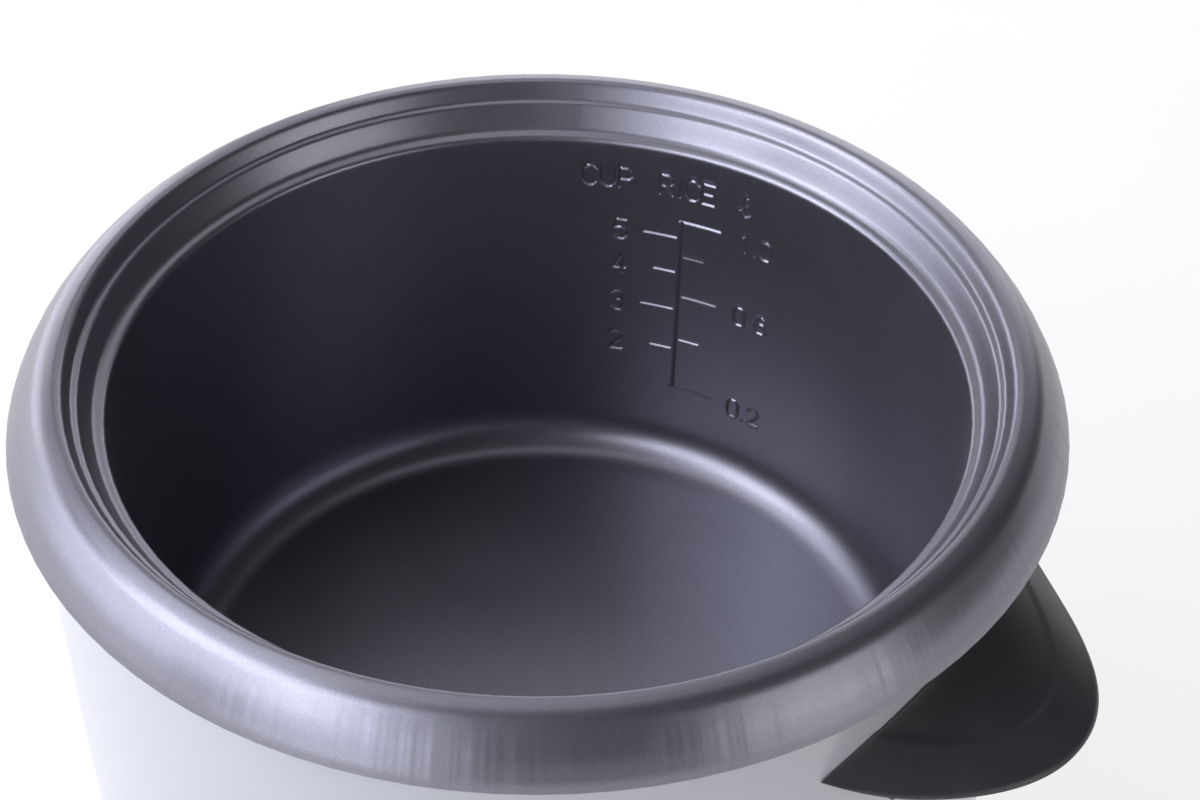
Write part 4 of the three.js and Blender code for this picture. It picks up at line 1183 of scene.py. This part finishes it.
def build_screw(name, node, direction):
    """A pan head screw along the direction, its head at the start of the CAD screw's box."""
    low, high = (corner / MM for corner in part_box(node))
    axis = max(range(3), key=lambda k: abs(direction[k]))
    length = high[axis] - low[axis]
    head_r, shank_r, head_h, pitch = 3.6, 1.9, 2.2, 0.8
    outline = [(0, 0.0), (1.4, 0.05), (2.5, 0.3), (3.3, 0.9), (head_r, 1.7), (head_r, head_h)]
    outline.append((shank_r, head_h))
    z = head_h + 0.4
    while z < length - 1.2:
        outline += [(shank_r - 0.35, z), (shank_r, z + pitch / 2)]
        z += pitch
    outline += [(shank_r - 0.3, length - 0.6), (0.9, length), (0, length)]
    bm = bmesh.new()
    add_turned(bm, outline, Matrix.Identity(4), 24)
    screw = new_object(name, bm, 30)
    for half_x, half_y in ((2.0, 0.35), (0.35, 2.0)):
        carve(screw, box_cutter((-half_x, -half_y, -1), (half_x, half_y, 1.0)))
    start = (low + high) / 2
    start[axis] = low[axis] if direction[axis] > 0 else high[axis]
    turn_to = Vector((0, 0, 1)).rotation_difference(Vector(direction)).to_matrix().to_4x4()
    screw.data.transform(Matrix.Translation(start * MM) @ turn_to)
    place_piece(screw, "case", "steel", node)


def build_screws():
    for i in range(1, 5):
        build_screw(f"foot_fixing_{i}", f"foot_screw_{i}", (0, 0, 1))
    for i in range(1, 4):
        build_screw(f"plate_fixing_{i}", f"plate_screw_{i}", (0, 0, 1))
    for i in (1, 2):
        build_screw(f"bracket_fixing_{i}", f"bracket_screw_{i}", (0, 0, -1))
        build_screw(f"right_wing_fixing_{i}", f"handle_screw_right_{i}", (1, 0, 0))
        build_screw(f"left_wing_fixing_{i}", f"handle_screw_left_{i}", (-1, 0, 0))
    build_screw("frame_fixing", "frame_screw", (0, 0, -1))


build_shell()
build_base()
build_feet()
build_handle("right", False)
build_handle("left", True)
build_panel()
build_lamps()
build_paddle()
build_inlet()
build_well()
build_heating_plate()
build_sensor_cap()
build_springs()
build_screws()


# ---- floor and light ----

FLOOR_GLOW = 0.75                        # the far floor and the sky beyond it are about as bright
SKY_LIGHT = 0.06                         # how much light the sky itself gives
FLOOR_GAP = 0.0002                       # metres between the floor and the feet


def build_stage():
    bm = bmesh.new()
    turn(bm, [(0, 0), (400, 0), (1500, 0), (6000, 0), (40000, 0)], even_angles(96), closed=False)
    floor = new_object("floor", bm)
    floor.location.z = -FLOOR_GAP
    f = Finish("pale_floor", (0.2, 0.2, 0.205), 0.6)
    f.uneven(f.group(GRAIN, Scale=8.0, Detail=2.0).outputs["Value"], 0.55, 0.65)
    f.shader.inputs["Emission Color"].default_value = (1, 1, 1, 1)
    f.shader.inputs["Emission Strength"].default_value = FLOOR_GLOW
    floor.data.materials.append(f.material)


def soft_light(name, radiance, size, place, aim, colour):
    """A rectangle of even light; radiance is how bright its face is."""
    data = bpy.data.lights.new(name, "AREA")
    data.shape = "RECTANGLE"
    data.size, data.size_y = size
    data.energy = radiance * math.pi * size[0] * size[1]
    data.color = colour
    light = bpy.data.objects.new(name, data)
    light.location = place
    light.rotation_euler = (Vector(aim) - Vector(place)).to_track_quat("-Z", "Y").to_euler()
    bpy.context.scene.collection.objects.link(light)


def around(degrees, distance, height):
    """A place by its angle from the camera's right, counted against the clock, seen from above."""
    angle = math.radians(CAMERA_DEGREES + degrees)
    return (distance * math.cos(angle), distance * math.sin(angle), height)


def build_light():
    world = bpy.data.worlds.new("studio")
    bpy.context.scene.world = world
    world.use_nodes = True
    tree = world.node_tree
    shade = tree.nodes["Background"]
    shade.inputs["Color"].default_value = (0.97, 0.975, 1.0, 1)
    seen = add_node(tree, "ShaderNodeLightPath").outputs["Is Camera Ray"]
    strength = add_node(tree, "ShaderNodeMapRange", {
        "Value": seen, "To Min": SKY_LIGHT, "To Max": FLOOR_GLOW,
    })
    tree.links.new(strength.outputs["Result"], shade.inputs["Strength"])
    pot = (0, 0, 0.15)
    cool, faint, warm = (0.89, 0.9, 1.0), (0.95, 0.95, 1.0), (1, 0.99, 0.97)
    soft_light("window", 5.2, (1.6, 0.9), around(204, 1.3, 1.15), pot, cool)
    soft_light("window_foot", 2.9, (1.1, 0.9), around(231, 1.6, 0.5), pot, cool)
    soft_light("window_head", 3.0, (1.1, 0.7), around(168, 0.9, 1.45), pot, cool)
    soft_light("left_low", 3.0, (1.5, 0.8), around(178, 1.65, 0.5), pot, cool)
    soft_light("ceiling", 0.9, (1.2, 0.9), around(105, 0.45, 1.7), pot, faint)
    soft_light("back_left", 2.8, (1.3, 0.9), around(130, 1.7, 0.5), pot, faint)
    soft_light("back_right", 1.7, (1.6, 0.9), around(75, 1.7, 0.5), pot, faint)
    soft_light("high_back", 0.8, (1.2, 0.7), around(85, 1.2, 1.2), pot, faint)
    soft_light("card_right", 2.1, (0.9, 0.8), around(-38, 1.5, 0.55), pot, warm)


build_stage()
build_light()
bpy.context.scene.view_settings.view_transform = "Standard"

SLOT_OF = {part["node"]: part["material_slot"] for part in frame["record"]["subparts"]}
for node_name, node in frame["nodes"].items():
    if not node.hide_render:
        node.data.materials.clear()
        node.data.materials.append(FINISHES[SLOT_OF[node_name]])
